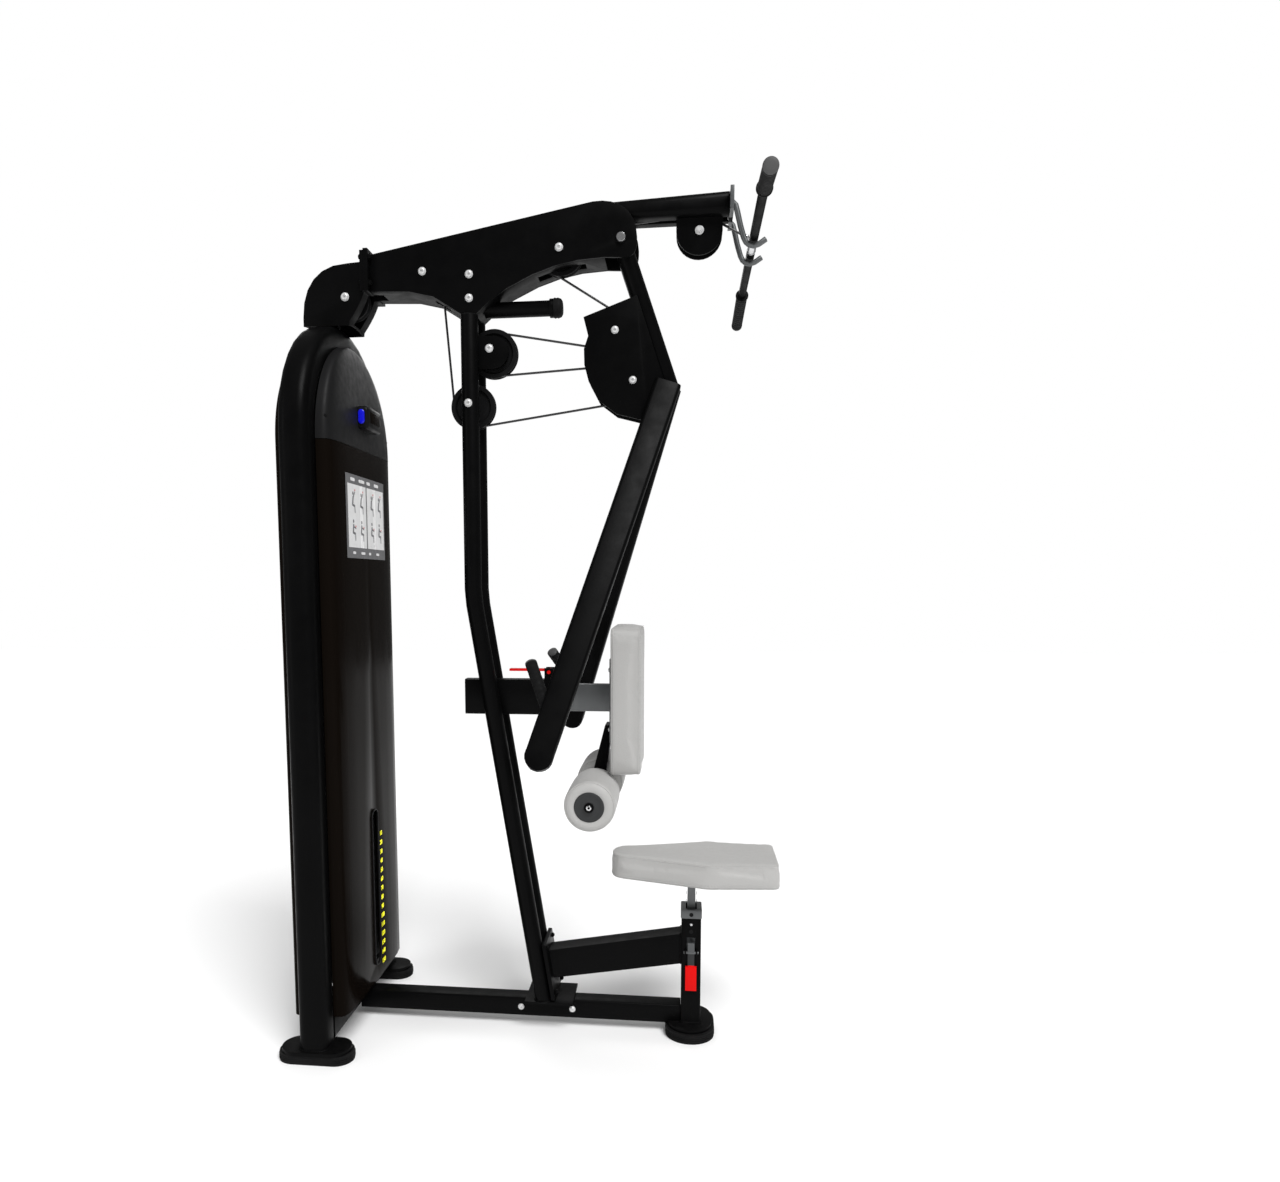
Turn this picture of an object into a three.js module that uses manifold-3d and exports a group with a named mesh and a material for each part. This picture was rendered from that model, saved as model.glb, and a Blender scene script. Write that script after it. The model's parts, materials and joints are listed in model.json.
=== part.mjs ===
// Lat pulldown and seated row machine with a selectorised weight tower.
// Millimetres, +Z up, +X from the weight tower to the seat, Y across the machine (near side is -Y).
// Places are first given from the middle of the tower's feet; the whole machine is then shifted so
// that the origin lies on the floor under the middle of its length.
import * as THREE from "three";
import { mergeVertices } from "three/addons/utils/BufferGeometryUtils.js";
import Module from "manifold-3d";

const wasm = await Module();
wasm.setup();

// ---- Driving dimensions ----
const GAP = 0.3; // between pieces that touch
const WALL = 3; // steel tube wall
const LEG_Y = 265; // tower leg centre line
const LEG_SIZE = 76; // tower tube, across
const ARCH_Z = 1605; // centre of the tower's top arch
const FOOT_LENGTH = 198; // rubber foot, along X
const FOOT_WIDTH = 88;
const FOOT_HEIGHT = 24;
const STACK_X = 18; // weight stack, stem and guide rods
const GUIDE_ROD_Y = 100;
const PLATE_PITCH = 27; // one weight plate with its gap
const PLATE_COUNT = 15;
const LIFTED_PLATES = 3; // plates that the selector pin picks up
const STACK_FLOOR_Z = 152.5; // underside of the lowest plate
const PLATE_HALF_X = 42;
const PLATE_HALF_Y = 155;
const SHROUD_BACK_X = 38.6;
const SHROUD_FRONT_X = 80;
const SHROUD_HALF_Y = 245;
const SHROUD_BOTTOM_Z = 102;
const SHROUD_TOP_Z = 1586;
const HEAD_INNER_Y = 47.3; // inner faces of the head's two side plates
const HEAD_PLATE = 8; // side plate thickness
const BOOM_END_X = 1045;
const BOOM_BOTTOM_Z = 2142;
const BOOM_TOP_Z = 2197;
const POST_X = 384; // upright pair, upper straight stretch
const POST_Y = 45;
const POST_RADIUS = 23;
const POST_BEND_Z = 1195;
const POST_SLOPE = 0.1637; // forward run of the lower stretch for each unit of height
const BASE_TOP_Z = 78;
const BASE_HALF_Y = 27;
const SEAT_POST_X = 968.5;
const SEAT_LEVER = { y: -40.5, z: 235 }; // pivot
const SEAT_REAR_X = 1196;
const SEAT_NOSE_X = 750;
const SEAT_TOP_Z = 504;
const SEAT_THICKNESS = 67;
const PAD_REAR_X = 757;
const ROPE_RADIUS = 3;
const CABLE_GAP = 0.8; // between two lengths of cable
const SHAFT_RADIUS = 9.2; // pulley shafts
const PIVOT_RADIUS = 9.7; // row arm's pivot shaft
const PIVOT = { x: 777, z: 2091 }; // row arm
const BAR = { x: 1104, z: 2072.5, radius: 11, gripRadius: 16.5, bendY: 330, halfLength: 573 };
const CABLE_END = { x: 1084, z: 2100 };

// Pulleys in the order that the lift cable meets them, from the stack to the bar.
// r is the radius of the cable's centre line, and turn is +1 where the cable runs anticlockwise
// round the pulley as seen from the near side.
const PULLEYS = [
  { name: "pulley_gooseneck", x: STACK_X + 40, z: 1974, r: 40, turn: -1 },
  { name: "pulley_head_rear", x: 264, z: 2031, r: 38, turn: -1 },
  { name: "pulley_post_lower", x: 383, z: 1695, r: 52, turn: 1 },
  { name: "pulley_row_lower", x: 806, z: 1748, r: 46, turn: 1 },
  { name: "pulley_post_upper", x: 440, z: 1830, r: 56, turn: -1 },
  { name: "pulley_row_upper", x: 760, z: 1874, r: 44, turn: 1 },
  { name: "pulley_head_front", x: 620, z: 2075, r: 50, turn: -1 },
  { name: "pulley_boom", x: 972, z: 2112, r: 45, turn: -1 },
];
const pulleyNamed = (name) => PULLEYS.find((pulley) => pulley.name === name);

// ---- Materials ----
const finish = (color, roughness, metalness) =>
  new THREE.MeshStandardMaterial({ color, roughness, metalness });
const blackPaint = finish(0x151515, 0.45, 0.2);
const smokedPanel = finish(0x1d1714, 0.25, 0.0);
const greyPlastic = finish(0x3a3a3b, 0.4, 0.0);
const blackPlastic = finish(0x101010, 0.5, 0.0);
const rubber = finish(0x2c2c2c, 0.9, 0.0);
const chrome = finish(0xd8d8d8, 0.12, 1.0);
const greySteel = finish(0x8a8a8a, 0.35, 0.8);
const blackIron = finish(0x1a1a1a, 0.6, 0.4);
const paleUpholstery = finish(0xc1c0be, 0.6, 0.0);
const redPlastic = finish(0xd80f0f, 0.4, 0.0);

// ---- Solids: joining and cutting ----
function toSolid(geometry) {
  const plain = geometry.index ? geometry.toNonIndexed() : geometry;
  const bare = new THREE.BufferGeometry();
  bare.setAttribute("position", plain.getAttribute("position").clone());
  const merged = mergeVertices(bare, 1e-3);
  return new wasm.Manifold(
    new wasm.Mesh({
      numProp: 3,
      vertProperties: merged.attributes.position.array,
      triVerts: new Uint32Array(merged.index.array),
    }),
  );
}

function fromSolid(solid) {
  const { vertProperties, triVerts } = solid.getMesh();
  const geometry = new THREE.BufferGeometry();
  geometry.setAttribute("position", new THREE.BufferAttribute(new Float32Array(vertProperties), 3));
  geometry.setIndex(new THREE.BufferAttribute(new Uint32Array(triVerts), 1));
  const faceted = geometry.toNonIndexed();
  faceted.computeVertexNormals();
  return faceted;
}

function join(...geometries) {
  return fromSolid(geometries.map(toSolid).reduce((whole, next) => whole.add(next)));
}

function cut(geometry, ...tools) {
  return fromSolid(tools.map(toSolid).reduce((rest, tool) => rest.subtract(tool), toSolid(geometry)));
}

// ---- Shapes ----
function box(x0, x1, y0, y1, z0, z1) {
  const geometry = new THREE.BoxGeometry(x1 - x0, y1 - y0, z1 - z0);
  return geometry.translate((x0 + x1) / 2, (y0 + y1) / 2, (z0 + z1) / 2);
}

const polygon = (points) => new THREE.Shape(points.map(([a, b]) => new THREE.Vector2(a, b)));

function ring(radius, sides) {
  const points = [];
  for (let i = 0; i < sides; i += 1) {
    const angle = ((i + 0.5) / sides) * 2 * Math.PI;
    points.push([radius * Math.cos(angle), radius * Math.sin(angle)]);
  }
  return polygon(points);
}

function roundedRectangle(halfA, halfB, corner) {
  const shape = new THREE.Shape();
  shape.absarc(halfA - corner, halfB - corner, corner, 0, Math.PI / 2);
  shape.absarc(corner - halfA, halfB - corner, corner, Math.PI / 2, Math.PI);
  shape.absarc(corner - halfA, corner - halfB, corner, Math.PI, 1.5 * Math.PI);
  shape.absarc(halfA - corner, corner - halfB, corner, 1.5 * Math.PI, 2 * Math.PI);
  return shape;
}

function extrude(shape, depth, curveSegments) {
  return new THREE.ExtrudeGeometry(shape, { depth, bevelEnabled: false, curveSegments });
}

// A shape drawn in X and Z, made solid from y0 to y1.
function extrudeY(shape, y0, y1, curveSegments = 4) {
  return extrude(shape, y1 - y0, curveSegments).rotateX(Math.PI / 2).translate(0, y1, 0);
}

// A shape drawn in Y and Z, made solid from x0 to x1.
function extrudeX(shape, x0, x1, curveSegments = 4) {
  const turn = new THREE.Matrix4().makeBasis(
    new THREE.Vector3(0, 1, 0),
    new THREE.Vector3(0, 0, 1),
    new THREE.Vector3(1, 0, 0),
  );
  return extrude(shape, x1 - x0, curveSegments).applyMatrix4(turn).translate(x0, 0, 0);
}

// A shape drawn in X and Y, made solid from z0 to z1.
function extrudeZ(shape, z0, z1, curveSegments = 4) {
  return extrude(shape, z1 - z0, curveSegments).translate(0, 0, z0);
}

const rodZ = (x, y, radius, z0, z1, sides = 16) =>
  extrudeZ(ring(radius, sides), z0, z1).translate(x, y, 0);
const rodY = (x, z, radius, y0, y1, sides = 16) =>
  extrudeY(ring(radius, sides), y0, y1).translate(x, 0, z);
const rodX = (y, z, radius, x0, x1, sides = 16) =>
  extrudeX(ring(radius, sides), x0, x1).translate(0, y, z);

// The hole for a shaft along Y, wide enough that its flats clear the shaft.
const shaftHole = (x, z, radius, y0, y1) =>
  rodY(x, z, (radius + GAP) / Math.cos(Math.PI / 14), y0, y1, 14);

// A path that passes through given stations, with the tangent shared at each bend.
class StationPath extends THREE.Curve {
  constructor(stations) {
    super();
    this.stations = stations.map(([x, y, z]) => new THREE.Vector3(x, y, z));
  }

  getPoint(t) {
    const last = this.stations.length - 1;
    const place = Math.min(t * last, last);
    const before = Math.min(Math.floor(place + 1e-9), last - 1);
    return this.stations[before].clone().lerp(this.stations[before + 1], place - before);
  }

  getPointAt(u) {
    return this.getPoint(u);
  }

  getTangentAt(u) {
    const last = this.stations.length - 1;
    const here = Math.round(u * last);
    const sum = new THREE.Vector3();
    for (const start of [here - 1, here]) {
      if (start < 0 || start >= last) continue;
      sum.add(this.stations[start + 1].clone().sub(this.stations[start]).normalize());
    }
    return sum.normalize();
  }
}

function sweep(stations, shape, curveSegments = 2) {
  return new THREE.ExtrudeGeometry(shape, {
    steps: stations.length - 1,
    extrudePath: new StationPath(stations),
    bevelEnabled: false,
    curveSegments,
  });
}

function hollow(shape, inner) {
  shape.holes.push(inner);
  return shape;
}

function spin(profile, segments) {
  return new THREE.LatheGeometry(profile.map(([r, h]) => new THREE.Vector2(r, h)), segments);
}

// ---- The machine as a group of named meshes ----
const machine = new THREE.Group();
const fromTower = new THREE.Group();
fromTower.position.x = -(SEAT_REAR_X - FOOT_LENGTH / 2) / 2;
machine.add(fromTower);

function place(name, geometry, material, x = 0, y = 0, z = 0) {
  const piece = new THREE.Mesh(geometry, material);
  piece.name = name;
  piece.position.set(x, y, z);
  fromTower.add(piece);
}

const SIDES = [
  ["near", -1],
  ["far", 1],
];

// ---- Weight tower ----
function stadium(halfLength, halfWidth) {
  return roundedRectangle(halfLength, halfWidth, Math.min(halfLength, halfWidth) - 0.01);
}

function towerFrame() {
  const stations = [[0, -LEG_Y, FOOT_HEIGHT + GAP]];
  const archSteps = 18;
  for (let i = 0; i <= archSteps; i += 1) {
    const angle = Math.PI * (1 - i / archSteps);
    stations.push([0, LEG_Y * Math.cos(angle), ARCH_Z + LEG_Y * Math.sin(angle)]);
  }
  stations.push([0, LEG_Y, FOOT_HEIGHT + GAP]);
  const half = LEG_SIZE / 2;
  const section = hollow(
    roundedRectangle(half, half, 24),
    roundedRectangle(half - WALL, half - WALL, 24 - WALL),
  );
  const arch = sweep(stations, section);
  const footPlates = SIDES.map(([, side]) =>
    extrudeZ(stadium(92, 47), FOOT_HEIGHT + GAP, FOOT_HEIGHT + 10, 4).translate(0, side * LEG_Y, 0),
  );
  const crossMember = extrudeX(
    hollow(roundedRectangle(35, 35, 6), roundedRectangle(32, 32, 3)),
    -(LEG_Y - half + 1),
    LEG_Y - half + 1,
    1,
  );
  crossMember.rotateZ(Math.PI / 2).translate(0, 0, 71);
  const crownHole = rodZ(STACK_X, 0, 13, ARCH_Z + LEG_Y - half - 20, ARCH_Z + LEG_Y + half + 5);
  return cut(join(arch, ...footPlates, crossMember), crownHole);
}

const rubberFoot = (halfX, halfY) => extrudeZ(stadium(halfX, halfY), 0, FOOT_HEIGHT, 4);

// Half of the front shroud's plan, from its rear edge to the middle: a rounded box.
const SHROUD_PLAN = [1, 0.992, 0.965, 0.9, 0.75, 0.5, 0].map((across) => [
  SHROUD_BACK_X + (SHROUD_FRONT_X - SHROUD_BACK_X) * (1 - across ** 5) ** 0.2,
  SHROUD_HALF_Y * across,
]);

function shroudSection(thickness) {
  const outer = [...SHROUD_PLAN, ...SHROUD_PLAN.slice(0, -1).reverse().map(([x, y]) => [x, -y])];
  const inner = outer.map(([x, y]) => [
    x === SHROUD_BACK_X ? x : x - thickness,
    y - Math.sign(y) * thickness,
  ]);
  return polygon([...outer, ...inner.reverse()]);
}

function frontShroud() {
  const panel = extrudeZ(shroudSection(4), SHROUD_BOTTOM_Z, SHROUD_TOP_Z);
  const slot = extrudeX(roundedRectangle(24, 225, 21), 60, 110, 2).translate(0, 0, 372);
  return cut(panel, slot);
}

// A solid through level outlines of the same number of points, each convex.
function loft(levels) {
  const count = levels[0].points.length;
  const positions = [];
  const triangle = (...corners) => corners.forEach(([x, y, z]) => positions.push(x, y, z));
  const at = ({ z, points }, i) => [...points[i % count], z];
  const middle = ({ z, points }) => [
    points.reduce((sum, [x]) => sum + x, 0) / count,
    points.reduce((sum, [, y]) => sum + y, 0) / count,
    z,
  ];
  for (let i = 0; i < count; i += 1) {
    for (let k = 0; k + 1 < levels.length; k += 1) {
      const [low, high] = [levels[k], levels[k + 1]];
      triangle(at(low, i), at(low, i + 1), at(high, i + 1));
      triangle(at(low, i), at(high, i + 1), at(high, i));
    }
    const [bottom, top] = [levels[0], levels[levels.length - 1]];
    triangle(at(bottom, i + 1), at(bottom, i), middle(bottom));
    triangle(at(top, i), at(top, i + 1), middle(top));
  }
  const geometry = new THREE.BufferGeometry();
  geometry.setAttribute("position", new THREE.Float32BufferAttribute(positions, 3));
  return geometry;
}

// The half dome that closes a shroud, as a solid with its walls set in by a given amount.
function capDome(inset) {
  const bottomZ = SHROUD_TOP_Z + 1;
  const rise = 268 - inset;
  const steps = 9;
  const levels = [];
  for (let k = 0; k <= steps; k += 1) {
    const climb = Math.sin((k / steps) * 0.985 * (Math.PI / 2));
    const shrink = Math.sqrt(1 - climb * climb);
    const right = SHROUD_PLAN.map(([x, y]) => {
      const out = x - SHROUD_BACK_X - (x === SHROUD_BACK_X ? 0 : inset);
      return [SHROUD_BACK_X + out * (0.25 + 0.75 * shrink), (y - inset) * shrink];
    }).filter(([, y]) => y > 0);
    const left = right.map(([x, y]) => [x, -y]);
    levels.push({ z: bottomZ + rise * climb, points: [...left, ...right.reverse()] });
  }
  return loft(levels);
}

function capShell() {
  const inside = capDome(5).translate(-6, 0, -2);
  const opening = box(20, SHROUD_BACK_X + 0.5, -225, 225, SHROUD_TOP_Z - 10, SHROUD_TOP_Z + 120);
  return cut(capDome(0), inside, opening);
}

function rearShroud() {
  const panel = extrudeZ(shroudSection(4), SHROUD_BOTTOM_Z, SHROUD_TOP_Z + 2);
  return join(panel, capShell()).rotateZ(Math.PI);
}

// ---- Weight stack ----
function plateBlock(lowest, count) {
  const z0 = STACK_FLOOR_Z + lowest * PLATE_PITCH;
  const parts = [];
  for (let i = 0; i < count; i += 1) {
    const bottom = z0 + i * PLATE_PITCH;
    const x0 = STACK_X - PLATE_HALF_X;
    const x1 = STACK_X + PLATE_HALF_X;
    parts.push(box(x0, x1, -PLATE_HALF_Y, PLATE_HALF_Y, bottom, bottom + PLATE_PITCH - 1));
    if (i + 1 < count) {
      const waist = [bottom + PLATE_PITCH - 2, bottom + PLATE_PITCH + 1];
      parts.push(box(x0 + 1, x1 - 1, 1 - PLATE_HALF_Y, PLATE_HALF_Y - 1, ...waist));
    }
  }
  const top = z0 + count * PLATE_PITCH;
  const holes = [
    rodZ(STACK_X, 0, 14.5, z0 - 5, top + 5, 12),
    ...SIDES.map(([, side]) => rodZ(STACK_X, side * GUIDE_ROD_Y, 14, z0 - 5, top + 5, 12)),
  ];
  return cut(join(...parts), ...holes);
}

const PIN_Z = STACK_FLOOR_Z + (PLATE_COUNT - LIFTED_PLATES + 0.5) * PLATE_PITCH - 0.5;
const STACK_TOP_Z = STACK_FLOOR_Z + PLATE_COUNT * PLATE_PITCH;
const STEM_TOP_Z = STACK_TOP_Z + 62;

function liftedPlates() {
  const pinHole = rodX(0, PIN_Z, 5.6, STACK_X, STACK_X + PLATE_HALF_X + 5, 10);
  return cut(plateBlock(PLATE_COUNT - LIFTED_PLATES, LIFTED_PLATES), pinHole);
}

function selectorStem() {
  const rod = rodZ(STACK_X, 0, 12.5, STACK_FLOOR_Z + 20, STACK_TOP_Z + 40, 14);
  const collar = rodZ(STACK_X, 0, 26, STACK_TOP_Z, STACK_TOP_Z + 18, 16);
  const ferrule = rodZ(STACK_X, 0, 8, STACK_TOP_Z + 30, STEM_TOP_Z, 10);
  const pinHole = rodX(0, PIN_Z, 5.6, STACK_X - 10, STACK_X + 40, 10);
  return cut(join(rod, collar, ferrule), pinHole);
}

function selectorPin() {
  const face = STACK_X + PLATE_HALF_X;
  const shank = rodX(0, PIN_Z, 4.75, STACK_X - 8, face + 3, 10);
  return join(shank, rodX(0, PIN_Z, 13, face + 0.5, face + 13, 16));
}

// ---- Gooseneck, head and boom ----
function gooseneckOutline(inset) {
  const shape = new THREE.Shape();
  shape.moveTo(-57 + inset, 1860);
  shape.lineTo(-57 + inset, 1925);
  shape.bezierCurveTo(-57 + inset, 2005, -15, 2058 - inset, 64, 2058 - inset);
  shape.lineTo(110, 2061 - inset);
  shape.lineTo(110, 1986 + inset);
  shape.quadraticCurveTo(98 - inset, 1952 + inset, 68 - inset, 1912 + inset / 2);
  shape.lineTo(62 - inset, 1860);
  return shape;
}

function gooseneckHousing() {
  const outside = extrudeY(gooseneckOutline(0), -60, 60, 6);
  const inside = extrudeY(gooseneckOutline(5), -55, 55, 6);
  const flange = box(103, 112, -72, 72, 1984, 2086);
  const passage = box(60, 130, -24, 24, 1912, 2048);
  const arch = rodX(0, ARCH_Z, LEG_Y + LEG_SIZE / 2 + GAP, -80, 130, 96);
  const { x, z } = pulleyNamed("pulley_gooseneck");
  return join(cut(join(cut(outside, inside), flange), passage, arch), rodY(x, z, SHAFT_RADIUS, -58, 58));
}

// The head's lower edge, from the flange to the row arm's pivot.
const HEAD_START_X = 124.8;
const HEAD_LOW = [
  [HEAD_START_X, 1986],
  [228, 1982],
  [292, 1967],
  [368, 1919],
  [402, 1919],
  [432, 1945],
  [482, 1980],
  [551, 2012],
  [610, 2031],
  [669, 2042],
  [735, 2046],
];

function headPlate() {
  const shape = polygon([[HEAD_START_X, 2078], ...HEAD_LOW]);
  shape.lineTo(790, 2043);
  shape.bezierCurveTo(812, 2046, 818, 2062, 817, 2093);
  shape.bezierCurveTo(815, 2150, 775, 2189, 705, 2181);
  shape.lineTo(HEAD_START_X, 2078);
  return cut(extrudeY(shape, 0, HEAD_PLATE, 8), shaftHole(PIVOT.x, PIVOT.z, PIVOT_RADIUS, -5, 30));
}

function headBand() {
  const thickness = 6;
  const inside = HEAD_LOW.map(([x, z]) => [x, z + thickness]);
  const strip = extrudeY(polygon([...HEAD_LOW, ...inside.reverse()]), -47, 47);
  const flange = box(112.4, 124.4, -72, 72, 1984, 2090);
  const web = box(120, HEAD_START_X + 6, -47, 47, 1986, 2076);
  const passage = box(90, 150, -24, 24, 1950, 2060);
  const ropeSlot = box(286, 326, -12, 12, 1930, 2000);
  const pulleySlot = box(560, 684, -18, 18, 1990, 2060);
  const bumper = rodX(0, 1942, 20, 418, 590, 20);
  const bumperFlange = rodX(0, 1942, 24, 589, 598, 20);
  return cut(join(strip, flange, web, bumper, bumperFlange), passage, ropeSlot, pulleySlot);
}

const bumperRubber = () =>
  spin([[0, 0], [17, 0], [17, 9], [26, 13], [26, 20], [20, 24.5], [0, 24.5]], 20).rotateZ(-Math.PI / 2);

function boomTube() {
  const middleZ = (BOOM_BOTTOM_Z + BOOM_TOP_Z) / 2;
  const half = (BOOM_TOP_Z - BOOM_BOTTOM_Z) / 2;
  const section = hollow(
    roundedRectangle(HEAD_INNER_Y - GAP, half, 18),
    roundedRectangle(HEAD_INNER_Y - GAP - 4, half - 4, 14),
  );
  const tube = extrudeX(section, 690, BOOM_END_X, 2).translate(0, 0, middleZ);
  const { x, z } = pulleyNamed("pulley_boom");
  const cheeks = [-20, 14.5].map((y) => {
    const cheek = new THREE.Shape();
    cheek.moveTo(x - 58, BOOM_BOTTOM_Z + 3);
    cheek.lineTo(x - 58, z - 2);
    cheek.absarc(x, z - 2, 58, Math.PI, 2 * Math.PI);
    cheek.lineTo(x + 58, BOOM_BOTTOM_Z + 3);
    return extrudeY(cheek, y, y + 5.5, 8);
  });
  const slot = box(x - 56, BOOM_END_X + 5, -14.5, 14.5, BOOM_BOTTOM_Z - 5, BOOM_BOTTOM_Z + 12);
  const cableSlot = box(680, x, -8, 8, BOOM_BOTTOM_Z - 5, BOOM_BOTTOM_Z + 12);
  return join(cut(tube, slot, cableSlot), ...cheeks, rodY(x, z, SHAFT_RADIUS, -18, 18));
}

function storageHooks() {
  const route = [
    [BOOM_END_X + 6, 2158],
    [BOOM_END_X + 14, 2150],
    [1063, 2135],
    [1071, 2101],
    [1079, 2074],
    [1085, 2062],
    [1093, 2055],
    [1104, 2052.5],
    [1116, 2056],
    [1133, 2067],
  ];
  const plate = box(BOOM_END_X + 0.5, BOOM_END_X + 10, -75, 75, 2140, 2195);
  const notch = box(BOOM_END_X - 5, BOOM_END_X + 20, -16, 16, 2100, 2182);
  const rods = SIDES.map(([, side]) => sweep(route.map(([x, z]) => [x, side * 66, z]), ring(7, 10)));
  return join(cut(plate, notch), ...rods);
}

// ---- Uprights, base and seat support ----
const postX = (z) => POST_X + Math.max(0, POST_BEND_Z - z) * POST_SLOPE;

function postFrame() {
  const section = () => hollow(ring(POST_RADIUS, 18), ring(POST_RADIUS - WALL, 18));
  const heights = [1918.5, 1240, 1216];
  const tubes = SIDES.map(([, side]) => {
    const stations = heights.map((z) => [POST_X, side * POST_Y, z]);
    stations.push([POST_X + 1.8, side * POST_Y, 1195], [postX(1174), side * POST_Y, 1174]);
    stations.push([postX(60), side * POST_Y, 60]);
    return sweep(stations, section());
  });
  const { x, z } = pulleyNamed("pulley_post_upper");
  const cheeks = SIDES.map(([, side]) => {
    const shape = new THREE.Shape();
    shape.moveTo(POST_X - 6, z + 42);
    shape.lineTo(POST_X - 6, z - 42);
    shape.lineTo(x, z - 42);
    shape.absarc(x, z, 42, -Math.PI / 2, Math.PI / 2);
    const reach = [side * 15, side * 25].sort((a, b) => a - b);
    return extrudeY(shape, ...reach, 6);
  });
  const foot = box(515, 648, -66, 66, BASE_TOP_Z + 0.4, BASE_TOP_Z + 8);
  const trim = box(300, 800, -200, 200, 0, BASE_TOP_Z + 2);
  const lower = pulleyNamed("pulley_post_lower");
  const lowerReach = POST_Y - POST_RADIUS + 4;
  const shafts = [
    rodY(x, z, SHAFT_RADIUS, -22, 22),
    rodY(lower.x, lower.z, SHAFT_RADIUS, -lowerReach, lowerReach),
  ];
  return join(...tubes.map((tube) => cut(tube, trim)), ...cheeks, foot, ...shafts);
}

function boxTubeX(x0, x1, halfY, z0, z1, wall = WALL) {
  const half = (z1 - z0) / 2;
  const section = hollow(
    roundedRectangle(halfY, half, 5),
    roundedRectangle(halfY - wall, half - wall, 5 - wall + 0.5),
  );
  return extrudeX(section, x0, x1, 1).translate(0, 0, (z0 + z1) / 2);
}

function seatArm() {
  const arm = polygon([[572, 219], [941.5, 282.5], [941.5, 198.5], [590, 141]]);
  const inside = polygon([[562, 214], [950, 280], [950, 203], [580, 143]]);
  const flange = polygon([[563.9, 248], [574.6, 248], [600.4, 92], [589.7, 92]]);
  const tube = cut(extrudeY(arm, -30, 30), extrudeY(inside, -26, 26));
  return join(tube, extrudeY(flange, -66, 66));
}

function seatSleeve() {
  const tube = extrudeZ(
    hollow(roundedRectangle(26.5, 35, 4), roundedRectangle(22.5, 31, 2)),
    FOOT_HEIGHT + GAP,
    350,
    1,
  ).translate(SEAT_POST_X, 0, 0);
  const foot = extrudeZ(stadium(58, 82), FOOT_HEIGHT + GAP, FOOT_HEIGHT + 10, 4);
  foot.translate(SEAT_POST_X - 2, 0, 0);
  const core = box(SEAT_POST_X - 22.5, SEAT_POST_X + 22.5, -31, 31, 0, 60);
  const baseNotch = box(850, SEAT_POST_X - 26.5, -BASE_HALF_Y - GAP, BASE_HALF_Y + GAP, 0, 60);
  const sleeve = join(tube, cut(foot, core, baseNotch));
  const leverSlot = box(SEAT_POST_X - 12, SEAT_POST_X + 12, -40, -25, 237, 275);
  const ears = [-17.5, 13.5].map((x) => box(SEAT_POST_X + x, SEAT_POST_X + x + 4, -47, -33, 227, 243));
  const pin = rodX(SEAT_LEVER.y, SEAT_LEVER.z, 4.7, SEAT_POST_X - 30, SEAT_POST_X + 30, 12);
  return cut(join(sleeve, ...ears), leverSlot, pin);
}

function seatInnerPost() {
  const post = box(SEAT_POST_X - 14, SEAT_POST_X + 14, -24, 24, 110, 430);
  const top = SEAT_TOP_Z - SEAT_THICKNESS - GAP;
  return join(post, box(SEAT_POST_X - 110, SEAT_POST_X + 110, -70, 70, top - 8, top));
}

function seatCushion() {
  const shape = new THREE.Shape();
  shape.moveTo(SEAT_NOSE_X + 62, -64);
  shape.lineTo(1000, -122);
  shape.quadraticCurveTo(1012, -125, 1026, -123);
  shape.lineTo(SEAT_REAR_X - 16, -107);
  shape.quadraticCurveTo(SEAT_REAR_X, -105, SEAT_REAR_X, -90);
  shape.lineTo(SEAT_REAR_X, 90);
  shape.quadraticCurveTo(SEAT_REAR_X, 105, SEAT_REAR_X - 16, 107);
  shape.lineTo(1026, 123);
  shape.quadraticCurveTo(1012, 125, 1000, 122);
  shape.lineTo(SEAT_NOSE_X + 62, 64);
  shape.bezierCurveTo(SEAT_NOSE_X + 8, 52, SEAT_NOSE_X, 36, SEAT_NOSE_X, 0);
  shape.bezierCurveTo(SEAT_NOSE_X, -36, SEAT_NOSE_X + 8, -52, SEAT_NOSE_X + 62, -64);
  return extrudeZ(shape, SEAT_TOP_Z - SEAT_THICKNESS, SEAT_TOP_Z, 5);
}

function seatLever() {
  const handle = box(SEAT_POST_X - 15, SEAT_POST_X + 15, -45, -38, 129, 197);
  const shank = box(SEAT_POST_X - 9, SEAT_POST_X + 9, -44, -37.5, 190, 262);
  const pin = rodX(SEAT_LEVER.y, SEAT_LEVER.z, 4, SEAT_POST_X - 20, SEAT_POST_X + 20, 12);
  return join(handle, shank, pin);
}

// ---- Chest pad and thigh rollers ----
const ROLLER = { x: 712, z: 678, radius: 65, inner: 53, outer: 243 };

function padSlide() {
  const tube = boxTubeX(400, PAD_REAR_X - 9, 14.5, 886, 960);
  return join(tube, box(PAD_REAR_X - 10, PAD_REAR_X - 2.4, -42, 42, 806, 1030));
}

const chestPad = () =>
  extrudeX(roundedRectangle(118, 194, 22), PAD_REAR_X - 2, PAD_REAR_X + 78, 3).translate(0, 0, 923);

function rollerBracket() {
  const plateFace = PAD_REAR_X - 10.4;
  const arm = polygon([
    [plateFace - 12, 852],
    [plateFace, 852],
    [plateFace, 812],
    [ROLLER.x + 22, ROLLER.z - 6],
    [ROLLER.x + 8, ROLLER.z - 20],
    [ROLLER.x - 14, ROLLER.z - 14],
    [ROLLER.x - 20, ROLLER.z + 8],
  ]);
  const axle = rodY(ROLLER.x, ROLLER.z, 12.5, -(ROLLER.outer + 6), ROLLER.outer + 6, 14);
  return join(extrudeY(arm, -32, 32), axle);
}

function roller() {
  const length = ROLLER.outer - ROLLER.inner;
  const r = ROLLER.radius;
  return spin([[13.2, 0], [r - 8, 0], [r, 8], [r, length - 8], [r - 8, length], [13.2, length], [13.2, 0]], 32);
}

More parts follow.
